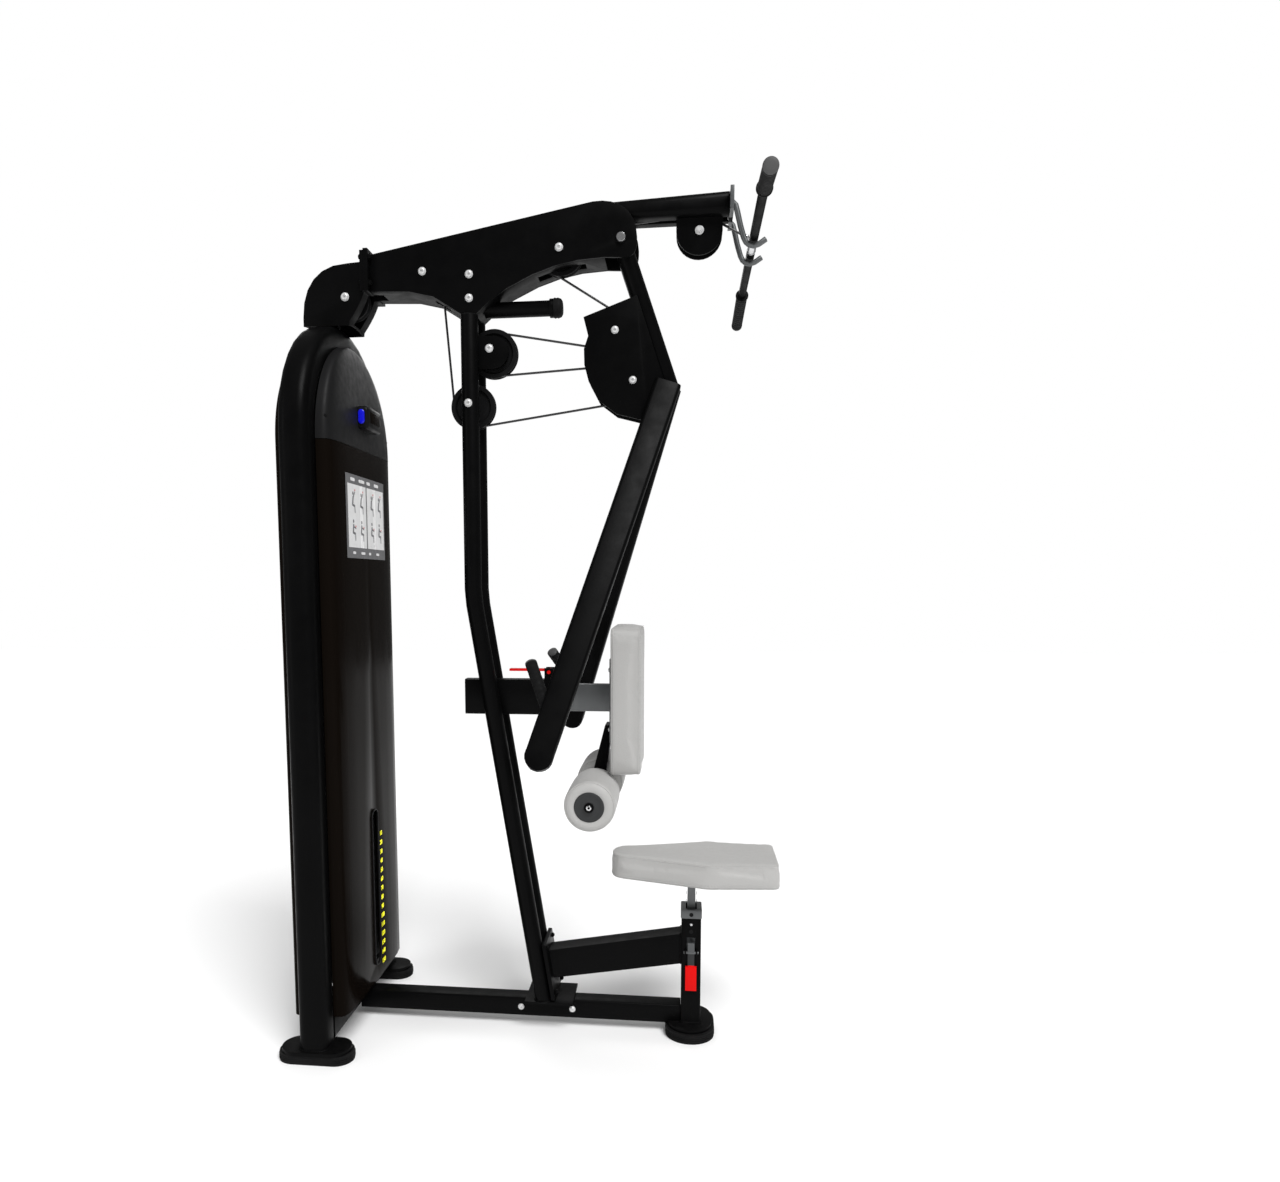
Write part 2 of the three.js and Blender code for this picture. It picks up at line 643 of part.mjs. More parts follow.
function padLever() {
  const blade = box(473, 584, -12, 12, 994, 1000);
  const hub = rodY(582, 992, 9, -14, 14, 14);
  return join(blade, hub, rodY(582, 992, 5, -22, 22, 12));
}

function padSupport() {
  const tube = boxTubeX(351, 632, 20, 876, 972);
  const ears = [-19.5, 14.5].map((y) => box(570, 594, y, y + 5, 968, 1003));
  const bore = rodY(582, 992, 5.5, -30, 30, 12);
  return cut(join(tube, ...ears), bore);
}

// ---- Lat bar ----
// A point on the bar's centre line: straight in the middle, with both ends bent down.
function barPoint(y) {
  const out = Math.max(0, Math.abs(y) - BAR.bendY);
  return [BAR.x - 0.02 * out, y, BAR.z - 0.181 * out];
}

function latBar() {
  const { bendY, halfLength } = BAR;
  const half = [bendY - 25, bendY + 5, bendY + 30, halfLength];
  const stations = [...half.map((y) => -y).reverse(), ...half].map(barPoint);
  return sweep(stations, ring(BAR.radius, 14));
}

function latGrip(side) {
  const section = hollow(ring(BAR.gripRadius, 16), ring((BAR.radius + GAP) / Math.cos(Math.PI / 14), 14));
  return sweep([barPoint(side * 375), barPoint(side * (BAR.halfLength - 2))], section);
}

function cableEnd() {
  const { x, z } = CABLE_END;
  const direction = new THREE.Vector3(BAR.x - x, 0, BAR.z + 18 - z).normalize();
  const body = spin([[0, 0], [4.5, 0], [6.5, 4], [6.5, 9], [3.5, 12], [0, 12]], 14);
  body.applyQuaternion(new THREE.Quaternion().setFromUnitVectors(new THREE.Vector3(0, 1, 0), direction));
  return body.translate(x, 0, z);
}

// ---- Row arm ----
const ARM_TOP = new THREE.Vector3(895.5, -23.6, 1736);
const ARM_BOTTOM = new THREE.Vector3(603.5, -344, 822);
const ARM_HALF_WIDTH = 34;
const ARM_HALF_DEPTH = 19;
const TUBE_DIRECTION = new THREE.Vector3(0.3225, 0, -0.9466);

function boxArm(side, grow) {
  const mirror = new THREE.Vector3(1, -side, 1);
  const top = ARM_TOP.clone().multiply(mirror);
  const bottom = ARM_BOTTOM.clone().multiply(mirror);
  const along = top.clone().sub(bottom);
  const length = along.length();
  along.normalize();
  const across = new THREE.Vector3(0, 1, 0).cross(along).normalize();
  const depth = along.clone().cross(across);
  const section = roundedRectangle(ARM_HALF_WIDTH + grow, ARM_HALF_DEPTH + grow, 9);
  if (!grow) hollow(section, roundedRectangle(ARM_HALF_WIDTH - WALL, ARM_HALF_DEPTH - WALL, 6));
  const frame = new THREE.Matrix4().makeBasis(across, depth, along).setPosition(bottom);
  const tube = extrudeZ(section, 0, length, 2).applyMatrix4(frame);
  if (grow) return tube;
  const roundEnd = rodY(0, 0, ARM_HALF_WIDTH, -ARM_HALF_DEPTH, ARM_HALF_DEPTH, 20).applyMatrix4(frame);
  return join(tube, roundEnd);
}

function upperTube(radius, end) {
  const start = new THREE.Vector3(PIVOT.x, 0, PIVOT.z).addScaledVector(TUBE_DIRECTION, 6);
  const stop = new THREE.Vector3(PIVOT.x, 0, PIVOT.z).addScaledVector(TUBE_DIRECTION, end);
  return sweep([start.toArray(), stop.toArray()], ring(radius, 18));
}

function rowArmUpper() {
  const hub = rodY(PIVOT.x, PIVOT.z, 19, -46.5, 46.5, 20);
  return cut(join(upperTube(24, 398), hub), shaftHole(PIVOT.x, PIVOT.z, PIVOT_RADIUS, -60, 60));
}

function rowBoxArm(side) {
  const other = side < 0 ? box(500, 1000, 0.2, 400, 700, 1900) : box(500, 1000, -400, -0.2, 700, 1900);
  return cut(boxArm(side, 0), upperTube(24.4, 420), other);
}

function camPlate(side) {
  const shape = polygon([
    [679, 1909],
    [691, 1862],
    [680, 1830],
    [681, 1790],
    [692, 1748],
    [718, 1699],
    [764, 1664],
    [825, 1648],
    [868, 1660],
    [898, 1710],
    [816, 1958],
  ]);
  const plate = extrudeY(shape, 0, 6).translate(0, side < 0 ? -30.8 : 24.8, 0);
  return cut(plate, boxArm(side, 0.5));
}

function camPlateNear() {
  const shafts = ["pulley_row_upper", "pulley_row_lower"].map((name) => {
    const { x, z } = pulleyNamed(name);
    return rodY(x, z, SHAFT_RADIUS, -30, 24.4);
  });
  return join(camPlate(-1), ...shafts);
}

function headPlateFar() {
  const shafts = ["pulley_head_rear", "pulley_head_front"].map((name) => {
    const { x, z } = pulleyNamed(name);
    return rodY(x, z, SHAFT_RADIUS, -2 * HEAD_INNER_Y + GAP, 2);
  });
  return join(headPlate(), ...shafts);
}

function rowHandle(side) {
  const bottom = [628, side * 312, 905];
  const top = [561, side * 191, 1033];
  return cut(sweep([bottom, top], ring(15.5, 14)), boxArm(side, 0.5));
}

// ---- Pulleys, axles and cable ----
function pulleyWheel({ r }) {
  const groove = r - ROPE_RADIUS - 0.5;
  const rim = r + 7;
  return spin(
    [
      [9.8, -11],
      [rim, -11],
      [rim, -8],
      [groove, -3.6],
      [groove, 3.6],
      [rim, 8],
      [rim, 11],
      [9.8, 11],
      [9.8, -11],
    ],
    24,
  );
}

// A shaft along Y with a wide head beyond each face that it is clamped on.
function axle(radius, face, headRadius = 12, head = 7) {
  const inner = face + 0.5;
  const outer = inner + head;
  return spin(
    [
      [0, -outer],
      [headRadius, -outer],
      [headRadius, -inner],
      [radius, -inner],
      [radius, inner],
      [headRadius, inner],
      [headRadius, outer],
      [0, outer],
    ],
    14,
  );
}

// The straight stretch of cable between two pulleys, as its two end points.
function tangent(from, to) {
  const dx = to.x - from.x;
  const dz = to.z - from.z;
  const rise = (to.turn * to.r - from.turn * from.r) / Math.hypot(dx, dz);
  const heading = Math.atan2(dz, dx) - Math.asin(rise);
  const left = [-Math.sin(heading), Math.cos(heading)];
  const touch = ({ x, z, r, turn }) => [x - turn * r * left[0], z - turn * r * left[1]];
  return [touch(from), touch(to)];
}

// The cable's stations round each pulley in turn.
function cableArcs() {
  const start = { x: STACK_X, z: STEM_TOP_Z, r: 0, turn: 1 };
  const stops = [start, ...PULLEYS, { ...CABLE_END, r: 0, turn: 1 }];
  return PULLEYS.map(({ x, z, r, turn }, i) => {
    const arrive = tangent(stops[i], stops[i + 1])[1];
    const leave = tangent(stops[i + 1], stops[i + 2])[0];
    const from = Math.atan2(arrive[1] - z, arrive[0] - x);
    let sweepAngle = Math.atan2(leave[1] - z, leave[0] - x) - from;
    if (turn > 0 && sweepAngle < 0) sweepAngle += 2 * Math.PI;
    if (turn < 0 && sweepAngle > 0) sweepAngle -= 2 * Math.PI;
    const steps = Math.max(3, Math.ceil(Math.abs(sweepAngle) / 0.3));
    return Array.from({ length: steps + 1 }, (_, k) => {
      const angle = from + (sweepAngle * k) / steps;
      return [x + r * Math.cos(angle), 0, z + r * Math.sin(angle)];
    });
  });
}

// A point a little way along from one point towards another.
function towards([x0, y0, z0], [x1, y1, z1], distance) {
  const share = distance / Math.hypot(x1 - x0, y1 - y0, z1 - z0);
  return [x0 + (x1 - x0) * share, y0 + (y1 - y0) * share, z0 + (z1 - z0) * share];
}

const first = (stations) => stations[0];
const last = (stations) => stations[stations.length - 1];

// The lift cable in the lengths that stay still, and the lengths that a moving piece draws on.
function placeCable() {
  const [gooseneck, headRear, postLower, rowLower, postUpper, rowUpper, headFront, boom] = cableArcs();
  const stemTop = [STACK_X, 0, STEM_TOP_Z + GAP];
  const end = [CABLE_END.x, 0, CABLE_END.z];
  const loopStart = towards(last(postLower), first(rowLower), CABLE_GAP);
  const loopEnd = towards(first(headFront), last(rowUpper), CABLE_GAP);
  const lengths = {
    cable_stack: [stemTop, towards(first(gooseneck), stemTop, CABLE_GAP)],
    cable_rear: [...gooseneck, ...headRear, ...postLower],
    cable_arm_loops: [loopStart, ...rowLower, ...postUpper, ...rowUpper, loopEnd],
    cable_front: [...headFront, ...boom],
    lat_cable_lead: [towards(last(boom), end, CABLE_GAP), towards(end, last(boom), 0.6)],
  };
  for (const [name, stations] of Object.entries(lengths)) {
    place(name, sweep(stations, ring(ROPE_RADIUS, 8)), blackPlastic);
  }
}

// ---- Assembly ----
place("tower_frame", towerFrame(), blackPaint);
for (const [name, side] of SIDES) {
  place(`rubber_foot_${name}`, rubberFoot(FOOT_LENGTH / 2, FOOT_WIDTH / 2), rubber, 0, side * LEG_Y);
  const rodBottom = 71 + 35 + GAP;
  place(`guide_rod_${name}`, rodZ(0, 0, 12.5, rodBottom, 1795, 14), chrome, STACK_X, side * GUIDE_ROD_Y);
  const plateY = side < 0 ? -HEAD_INNER_Y - HEAD_PLATE : HEAD_INNER_Y;
  place(`head_plate_${name}`, side < 0 ? headPlate() : headPlateFar(), blackPaint, 0, plateY);
  place(`lat_grip_${name}`, latGrip(side), rubber);
  place(`row_arm_${name}`, rowBoxArm(side), blackPaint);
  place(`row_handle_${name}`, rowHandle(side), rubber);
  const rollerY = side < 0 ? -ROLLER.outer : ROLLER.inner;
  place(`thigh_roller_${name}`, roller(), paleUpholstery, ROLLER.x, rollerY, ROLLER.z);
}
place("rubber_foot_seat", rubberFoot(66, 92), rubber, SEAT_POST_X - 2);
place("front_shroud", frontShroud(), smokedPanel);
place("rear_shroud", rearShroud(), smokedPanel);
place("front_cap", capShell(), greyPlastic);
place("stack_buffer", box(STACK_X - 30, STACK_X + 12, -70, 70, 106.4, STACK_FLOOR_Z - 0.4), rubber);
place("weight_plates_resting", plateBlock(0, PLATE_COUNT - LIFTED_PLATES), blackIron);
place("weight_plates_lifted", liftedPlates(), blackIron);
place("selector_stem", selectorStem(), greySteel);
place("selector_pin", selectorPin(), blackPlastic);
place("gooseneck_housing", gooseneckHousing(), blackPaint);
place("head_band", headBand(), blackPaint);
place("bumper_rubber", bumperRubber(), rubber, 598.4, 0, 1942);
place("boom_tube", boomTube(), blackPaint);
place("storage_hooks", storageHooks(), greySteel);
place("post_frame", postFrame(), blackPaint);
place("base_tube", boxTubeX(36.5, 941.6, BASE_HALF_Y, 25.5, BASE_TOP_Z), blackPaint);
place("seat_arm", seatArm(), blackPaint);
place("seat_sleeve", seatSleeve(), blackPaint);
place("seat_inner_post", seatInnerPost(), greySteel);
place("seat_cushion", seatCushion(), paleUpholstery);
place("seat_lever", seatLever(), redPlastic);
place("pad_support_tube", padSupport(), blackPaint);
place("pad_slide", padSlide(), greySteel);
place("chest_pad", chestPad(), paleUpholstery);
place("roller_bracket", rollerBracket(), blackPaint);
place("pad_lever", padLever(), redPlastic);
place("lat_bar", latBar(), blackPaint);
place("cable_end", cableEnd(), chrome);
place("row_arm_upper", rowArmUpper(), blackPaint);
place("cam_plate_near", camPlateNear(), blackPaint);
place("cam_plate_far", camPlate(1), blackPaint);
for (const pulley of PULLEYS) {
  place(pulley.name, pulleyWheel(pulley), blackPlastic, pulley.x, 0, pulley.z);
}
place("row_pivot_shaft", axle(PIVOT_RADIUS, HEAD_INNER_Y + HEAD_PLATE, 13, 8), chrome, PIVOT.x, 0, PIVOT.z);
placeCable();

export default machine;
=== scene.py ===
"""Lat pulldown and seated row machine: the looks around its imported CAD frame.

Lengths in at() and in profiles are millimetres, from the tower's centre line on the floor.
Blender objects are in metres.
"""

import json
import math

import bmesh
import bpy
from mathutils import Matrix, Vector, noise
from mathutils.bvhtree import BVHTree

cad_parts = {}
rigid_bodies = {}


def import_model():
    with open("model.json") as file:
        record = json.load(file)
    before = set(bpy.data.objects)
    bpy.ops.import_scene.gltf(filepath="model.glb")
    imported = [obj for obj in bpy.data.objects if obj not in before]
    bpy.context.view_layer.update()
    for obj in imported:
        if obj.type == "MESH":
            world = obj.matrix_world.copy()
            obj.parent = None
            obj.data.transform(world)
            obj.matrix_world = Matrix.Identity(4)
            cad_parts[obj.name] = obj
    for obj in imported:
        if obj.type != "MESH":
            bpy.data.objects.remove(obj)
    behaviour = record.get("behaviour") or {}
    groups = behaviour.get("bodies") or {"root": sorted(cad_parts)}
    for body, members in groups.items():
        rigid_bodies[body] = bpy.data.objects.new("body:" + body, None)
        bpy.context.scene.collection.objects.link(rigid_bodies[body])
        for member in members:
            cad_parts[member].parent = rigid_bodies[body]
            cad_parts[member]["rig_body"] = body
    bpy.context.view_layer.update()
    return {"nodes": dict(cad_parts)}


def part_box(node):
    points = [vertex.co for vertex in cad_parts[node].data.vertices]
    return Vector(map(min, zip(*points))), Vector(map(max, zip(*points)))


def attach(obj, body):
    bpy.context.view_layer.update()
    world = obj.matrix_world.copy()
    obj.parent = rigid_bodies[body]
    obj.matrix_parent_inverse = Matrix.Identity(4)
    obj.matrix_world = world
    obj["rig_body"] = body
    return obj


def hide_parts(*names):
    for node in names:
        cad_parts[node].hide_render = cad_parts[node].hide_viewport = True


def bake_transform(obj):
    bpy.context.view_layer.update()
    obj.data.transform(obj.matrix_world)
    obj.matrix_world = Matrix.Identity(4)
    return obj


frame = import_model()
scene = bpy.context.scene

MM = 0.001
tower_low, tower_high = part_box("tower_frame")
TOWER_X = (tower_low.x + tower_high.x) / 2
AXIS_X, AXIS_Y, AXIS_Z = Vector((1, 0, 0)), Vector((0, 1, 0)), Vector((0, 0, 1))
SIDES = (("near", -1), ("far", 1))
STACK_X, SEAT_X = 18, 968.5
BEVEL_ANGLE = 40


def at(x, y, z):
    """A place in millimetres from the tower's centre on the floor, as a point in the frame."""
    return Vector((TOWER_X + x * MM, y * MM, z * MM))


# ---- camera ----

CAMERA_PLACE = Vector((0.38776, -2.48769, 1.23312))
CAMERA_RIGHT = Vector((0.99288, 0.11902, -0.00411))
CAMERA_DOWN = Vector((0.00839, -0.10439, -0.99450))
CAMERA_LENS = 26.175
CAMERA_SHIFT = (0.0547, 0.0695)


def make_camera():
    data = bpy.data.cameras.new("camera")
    data.lens = CAMERA_LENS
    data.sensor_width = 36
    data.shift_x, data.shift_y = CAMERA_SHIFT
    camera = bpy.data.objects.new("camera", data)
    scene.collection.objects.link(camera)
    right = CAMERA_RIGHT.normalized()
    back = right.cross(-CAMERA_DOWN).normalized()
    up = back.cross(right)
    turn = Matrix((right, up, back)).transposed().to_4x4()
    camera.matrix_world = Matrix.Translation(CAMERA_PLACE) @ turn
    scene.camera = camera


make_camera()


# ---- finishes ----


class Finish:
    """A procedural material: a Principled shader fed by textures in the piece's own space."""

    def __init__(self, name, sockets):
        self.material = bpy.data.materials.new(name)
        self.material.use_nodes = True
        self.tree = self.material.node_tree
        self.shader = self.tree.nodes["Principled BSDF"]
        self.place = self.add("TexCoord").outputs["Object"]
        self.normal = None
        for socket, value in sockets.items():
            self.shader.inputs[socket].default_value = value

    def add(self, kind):
        return self.tree.nodes.new("ShaderNode" + kind)

    def join(self, source, target):
        self.tree.links.new(source, target)

    def stretched(self, stretch):
        mapping = self.add("Mapping")
        mapping.inputs["Scale"].default_value = stretch
        self.join(self.place, mapping.inputs["Vector"])
        return mapping.outputs[0]

    def mottle(self, scale, detail=3.0, stretch=(1, 1, 1), distortion=0.0):
        """Soft noise, with that many features to the metre."""
        node = self.add("TexNoise")
        node.inputs["Scale"].default_value = scale
        node.inputs["Detail"].default_value = detail
        node.inputs["Distortion"].default_value = distortion
        self.join(self.stretched(stretch), node.inputs["Vector"])
        return node.outputs[0]

    def cells(self, scale, feature="F1"):
        node = self.add("TexVoronoi")
        node.feature = feature
        node.inputs["Scale"].default_value = scale
        self.join(self.place, node.inputs["Vector"])
        return node.outputs["Distance"]

    def facing_up(self):
        """1 on faces that look up, where dust settles, and 0 on all others."""
        geometry = self.add("NewGeometry")
        parts = self.add("SeparateXYZ")
        self.join(geometry.outputs["Normal"], parts.inputs[0])
        return self.spread(parts.outputs["Z"], 0.0, 1.0, 0.75, 1.0)

    def spread(self, value, low, high, start=0.3, end=0.7):
        node = self.add("MapRange")
        for socket, number in (("From Min", start), ("From Max", end), ("To Min", low), ("To Max", high)):
            node.inputs[socket].default_value = number
        self.join(value, node.inputs["Value"])
        return node.outputs[0]

    def times(self, first, second):
        node = self.add("Math")
        node.operation = "MULTIPLY"
        self.join(first, node.inputs[0])
        self.join(second, node.inputs[1])
        return node.outputs[0]

    def between(self, value, first, second):
        """A colour from first to second, where each is a colour or a socket that carries one."""
        node = self.add("Mix")
        node.data_type = "RGBA"
        self.join(value, node.inputs[0])
        for socket, colour in ((node.inputs[6], first), (node.inputs[7], second)):
            if isinstance(colour, tuple):
                socket.default_value = (*colour, 1)
            else:
                self.join(colour, socket)
        return node.outputs[2]

    def colour(self, source):
        self.join(source, self.shader.inputs["Base Color"])

    def gloss(self, value, low, high):
        self.join(self.spread(value, low, high), self.shader.inputs["Roughness"])

    def relief(self, height, depth):
        """Bump of that depth in metres, on top of the bump before it."""
        node = self.add("Bump")
        node.inputs["Strength"].default_value = 1.0
        node.inputs["Distance"].default_value = depth
        self.join(height, node.inputs["Height"])
        if self.normal is not None:
            self.join(self.normal, node.inputs["Normal"])
        self.normal = node.outputs[0]
        self.join(self.normal, self.shader.inputs["Normal"])


def powder_coat(name, specular):
    made = Finish(name, {"Specular IOR Level": specular})
    body = made.between(made.mottle(4.0), (0.0014, 0.0014, 0.0015), (0.003, 0.003, 0.0031))
    dust = made.times(made.facing_up(), made.spread(made.mottle(60.0, 5.0), 0.0, 0.05))
    made.colour(made.between(dust, body, (0.05, 0.048, 0.046)))
    made.gloss(made.mottle(28.0, 5.0), 0.3, 0.44)
    made.relief(made.mottle(900.0, 2.0), 0.00007)
    made.relief(made.mottle(160.0, 2.0), 0.00009)
    return made.material


def smoked_sheet():
    made = Finish("smoked_panel", {"Specular IOR Level": 0.01})
    # The sheet's own dark brown, with broad lighter vertical streaks painted into its colour as reflections.
    painted_reflection_streaks = made.mottle(3.0, 3.0, (1, 1, 0.25))
    made.colour(made.between(painted_reflection_streaks, (0.0035, 0.0024, 0.0018), (0.0065, 0.0048, 0.0036)))
    made.gloss(made.mottle(35.0, 6.0, (1, 1, 0.12)), 0.13, 0.24)
    made.relief(made.mottle(5.0, 1.0), 0.0012)
    made.relief(made.mottle(700.0, 4.0, (1, 1, 0.05)), 0.000012)
    return made.material


def moulded(name, dark, light, rough, grain=650.0, depth=0.00012):
    """Injection-moulded plastic: a fine leather-like grain with a soft sheen."""
    made = Finish(name, {"Specular IOR Level": 0.1})
    made.colour(made.between(made.mottle(7.0), dark, light))
    made.gloss(made.mottle(50.0, 4.0), rough - 0.06, rough + 0.06)
    made.relief(made.cells(grain), depth)
    made.relief(made.mottle(grain * 0.3, 2.0), depth)
    return made.material


def rubbery(name, dark, light):
    made = Finish(name, {"Specular IOR Level": 0.1, "Sheen Weight": 0.02, "Sheen Roughness": 0.5})
    dusted = made.spread(made.mottle(45.0, 6.0), 0.0, 0.35)
    made.colour(made.between(dusted, dark, light))
    made.gloss(made.mottle(80.0, 4.0), 0.58, 0.78)
    made.relief(made.mottle(1200.0, 3.0), 0.00012)
    return made.material


def metal(name, dark, light, rough, metallic, stretch=(1, 1, 1), brushing=0.00002):
    made = Finish(name, {"Metallic": metallic})
    made.colour(made.between(made.mottle(12.0, 5.0), dark, light))
    made.gloss(made.mottle(120.0, 6.0, stretch), rough - 0.05, rough + 0.09)
    made.relief(made.mottle(1500.0, 3.0, stretch), brushing)
    return made.material


def cast_iron():
    made = Finish("black_iron", {"Specular IOR Level": 0.4})
    rubbed = made.spread(made.mottle(90.0, 6.0, (1, 1, 3)), 0.0, 0.4)
    made.colour(made.between(rubbed, (0.011, 0.011, 0.012), (0.035, 0.034, 0.033)))
    made.gloss(made.mottle(60.0, 5.0), 0.38, 0.62)
    made.relief(made.mottle(420.0, 5.0), 0.0003)
    return made.material


def vinyl():
    made = Finish("upholstery", {"Specular IOR Level": 0.36, "Sheen Weight": 0.08, "Sheen Roughness": 0.4})
    creased = made.between(made.mottle(9.0, 4.0), (0.385, 0.381, 0.373), (0.425, 0.421, 0.412))
    pores = made.spread(made.cells(520.0), 0.0, 0.22, 0.0, 0.55)
    made.colour(made.between(pores, creased, (0.455, 0.45, 0.44)))
    made.gloss(made.mottle(70.0, 4.0), 0.42, 0.56)
    made.relief(made.cells(520.0), 0.00035)
    made.relief(made.mottle(240.0, 4.0, (1, 1, 1), 0.6), 0.00035)
    made.relief(made.mottle(14.0, 2.0), 0.0007)
    return made.material


def printed(name, colour, rough=0.4):
    """Printed film: an even ink with slight mottling and a faint satin wave."""
    made = Finish(name, {"Specular IOR Level": 0.4})
    worn = tuple(min(1.0, channel * 1.18 + 0.004) for channel in colour)
    made.colour(made.between(made.mottle(40.0, 5.0), colour, worn))
    made.gloss(made.mottle(90.0, 4.0), rough - 0.08, rough + 0.08)
    made.relief(made.mottle(300.0, 3.0), 0.00003)
    return made.material


def sheathing():
    made = Finish("cable_sheath", {"Specular IOR Level": 0.5, "Coat Weight": 0.3, "Coat Roughness": 0.15})
    made.colour(made.between(made.mottle(70.0, 4.0), (0.009, 0.009, 0.01), (0.02, 0.02, 0.021)))
    made.gloss(made.mottle(200.0, 4.0), 0.22, 0.4)
    made.relief(made.mottle(800.0, 3.0), 0.0001)
    return made.material


FINISHES = {
    "frame_paint": powder_coat("frame_paint", 0.05),
    "smoked_panel": smoked_sheet(),
    "cap_plastic": moulded("cap_plastic", (0.0085, 0.0085, 0.0088), (0.0125, 0.0125, 0.013), 0.46),
    "rubber": rubbery("rubber", (0.004, 0.004, 0.0042), (0.012, 0.012, 0.012)),
    "chrome": metal("chrome", (0.62, 0.62, 0.63), (0.78, 0.78, 0.79), 0.14, 1.0, (1, 1, 0.2)),
    "grey_steel": metal("grey_steel", (0.095, 0.1, 0.102), (0.135, 0.14, 0.143), 0.36, 0.5, (1, 1, 0.1)),
    "black_iron": cast_iron(),
    "upholstery": vinyl(),
    "red_plastic": moulded("red_plastic", (0.62, 0.002, 0.002), (0.72, 0.004, 0.004), 0.34, 900.0, 0.00006),
    "black_plastic": moulded(
        "black_plastic", (0.0045, 0.0045, 0.0048), (0.008, 0.008, 0.0085), 0.4, 800.0, 0.00008
    ),
    "cable_sheath": sheathing(),
}
BAR_PAINT = powder_coat("bar_paint", 0.02)
HUB_PLASTIC = moulded("hub_plastic", (0.028, 0.029, 0.03), (0.042, 0.043, 0.044), 0.42)
CAP_LIGHT = moulded("end_cap_plastic", (0.075, 0.075, 0.075), (0.11, 0.11, 0.11), 0.4)
THREAD = rubbery("seam_thread", (0.36, 0.355, 0.345), (0.5, 0.495, 0.48))
INK_WHITE = printed("placard_white", (0.74, 0.74, 0.74))
INK_GREY = printed("placard_grey", (0.13, 0.13, 0.135))
INK_DARK = printed("placard_dark", (0.16, 0.16, 0.17))
INK_RED = printed("placard_red", (0.55, 0.03, 0.03))
INK_BLUE = printed("counter_blue", (0.004, 0.006, 0.62), 0.25)
YELLOW, YELLOW_PAINTED_GLOW = (0.9, 0.86, 0.0), 0.9
INK_YELLOW_PAINTED_GLOW = printed("number_yellow_painted_glow", YELLOW)
# The printed yellow numbers also get an emission: a painted glow that lights them though they are no lamp.
yellow_sockets = INK_YELLOW_PAINTED_GLOW.node_tree.nodes["Principled BSDF"].inputs
yellow_sockets["Emission Color"].default_value = (*YELLOW, 1)
yellow_sockets["Emission Strength"].default_value = YELLOW_PAINTED_GLOW
ZINC = metal("zinc_bolts", (0.62, 0.62, 0.62), (0.8, 0.8, 0.8), 0.32, 0.35)


# ---- shapes ----


class Shape:
    """Points and faces gathered from several parts, to become one mesh."""

    def __init__(self):
        self.points = []
        self.faces = []

    def add(self, points, faces):
        first = len(self.points)
        self.points += points
        self.faces += [tuple(first + i for i in face) for face in faces]
        return self

    def mesh(self, name):
        made = bpy.data.meshes.new(name)
        made.from_pydata([tuple(p) for p in self.points], [], self.faces)
        tidy(made)
        return made


def tidy(mesh):
    work = bmesh.new()
    work.from_mesh(mesh)
    bmesh.ops.remove_doubles(work, verts=work.verts, dist=2e-6)
    bmesh.ops.dissolve_degenerate(work, edges=work.edges, dist=1e-6)
    bmesh.ops.recalc_face_normals(work, faces=work.faces)
    work.to_mesh(mesh)
    work.free()


def shade(mesh, angle):
    if "custom_normal" in mesh.attributes:
        mesh.attributes.remove(mesh.attributes["custom_normal"])
    mesh.polygons.foreach_set("use_smooth", [True] * len(mesh.polygons))
    mesh.set_sharp_from_angle(angle=math.radians(angle))
    mesh.update()


def piece(name, mesh, material, body, stands_for=(), angle=38):
    """A finished piece on a body. A body of None leaves it free."""
    obj = bpy.data.objects.new(name, mesh)
    scene.collection.objects.link(obj)
    mesh.materials.clear()
    mesh.materials.append(material)
    shade(mesh, angle)
    if body:
        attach(obj, body)
    if stands_for:
        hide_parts(*stands_for)
    return obj


def part(name, shape, body, slot, stands_for=(), angle=38):
    """A piece whose finish is its slot's."""
    return piece(name, shape.mesh(name), FINISHES[slot], body, stands_for, angle)


def evaluated(obj):
    """The object's mesh with its modifiers applied, as new data."""
    bpy.context.view_layer.update()
    return bpy.data.meshes.new_from_object(obj.evaluated_get(bpy.context.evaluated_depsgraph_get()))


def circle(radius, count=24):
    turns = [2 * math.pi * i / count for i in range(count)]
    return [(radius * math.cos(turn), radius * math.sin(turn)) for turn in turns]


def rounded(half_u, half_v, corner, steps=6):
    """A rounded rectangle's outline."""
    outline = []
    for quarter, (side_u, side_v) in enumerate(((1, 1), (-1, 1), (-1, -1), (1, -1))):
        for k in range(steps + 1):
            turn = math.pi / 2 * (quarter + k / steps)
            u = side_u * (half_u - corner) + corner * math.cos(turn)
            v = side_v * (half_v - corner) + corner * math.sin(turn)
            outline.append((u, v))
    return outline


def bands(rows, count, closed=False):
    """The faces between neighbouring rows, where each row is a ring of count points."""
    faces = []
    for i in range(rows if closed else rows - 1):
        a, b = i * count, (i + 1) % rows * count
        faces += [(a + k, a + (k + 1) % count, b + (k + 1) % count, b + k) for k in range(count)]
    return faces


def lids(total, count):
    """The faces that close the first and the last ring."""
    return [tuple(range(count))[::-1], tuple(range(total - count, total))]


def directions(path, closed):
    found = []
    for i in range(len(path)):
        before = path[i - 1] if closed or i else path[0]
        after = path[(i + 1) % len(path)] if closed or i < len(path) - 1 else path[-1]
        found.append((after - before).normalized())
    return found


def swept(path, section, up=AXIS_Z, closed=False, swell=None):
    """A section in millimetres carried along a path, without twisting. swell scales it at each point."""
    headings = directions(path, closed)
    side = headings[0].cross(up)
    if side.length < 1e-4:
        side = headings[0].cross(AXIS_Y)
    side.normalize()
    points, count = [], len(section)
    for i, (place, heading) in enumerate(zip(path, headings)):
        side = (side - heading * side.dot(heading)).normalized()
        other = side.cross(heading)
        scale = MM * (swell[i] if swell else 1.0)
        points += [place + side * (u * scale) + other * (v * scale) for u, v in section]
    faces = bands(len(path), count, closed)
    if not closed:
        faces += lids(len(points), count)
    return points, faces


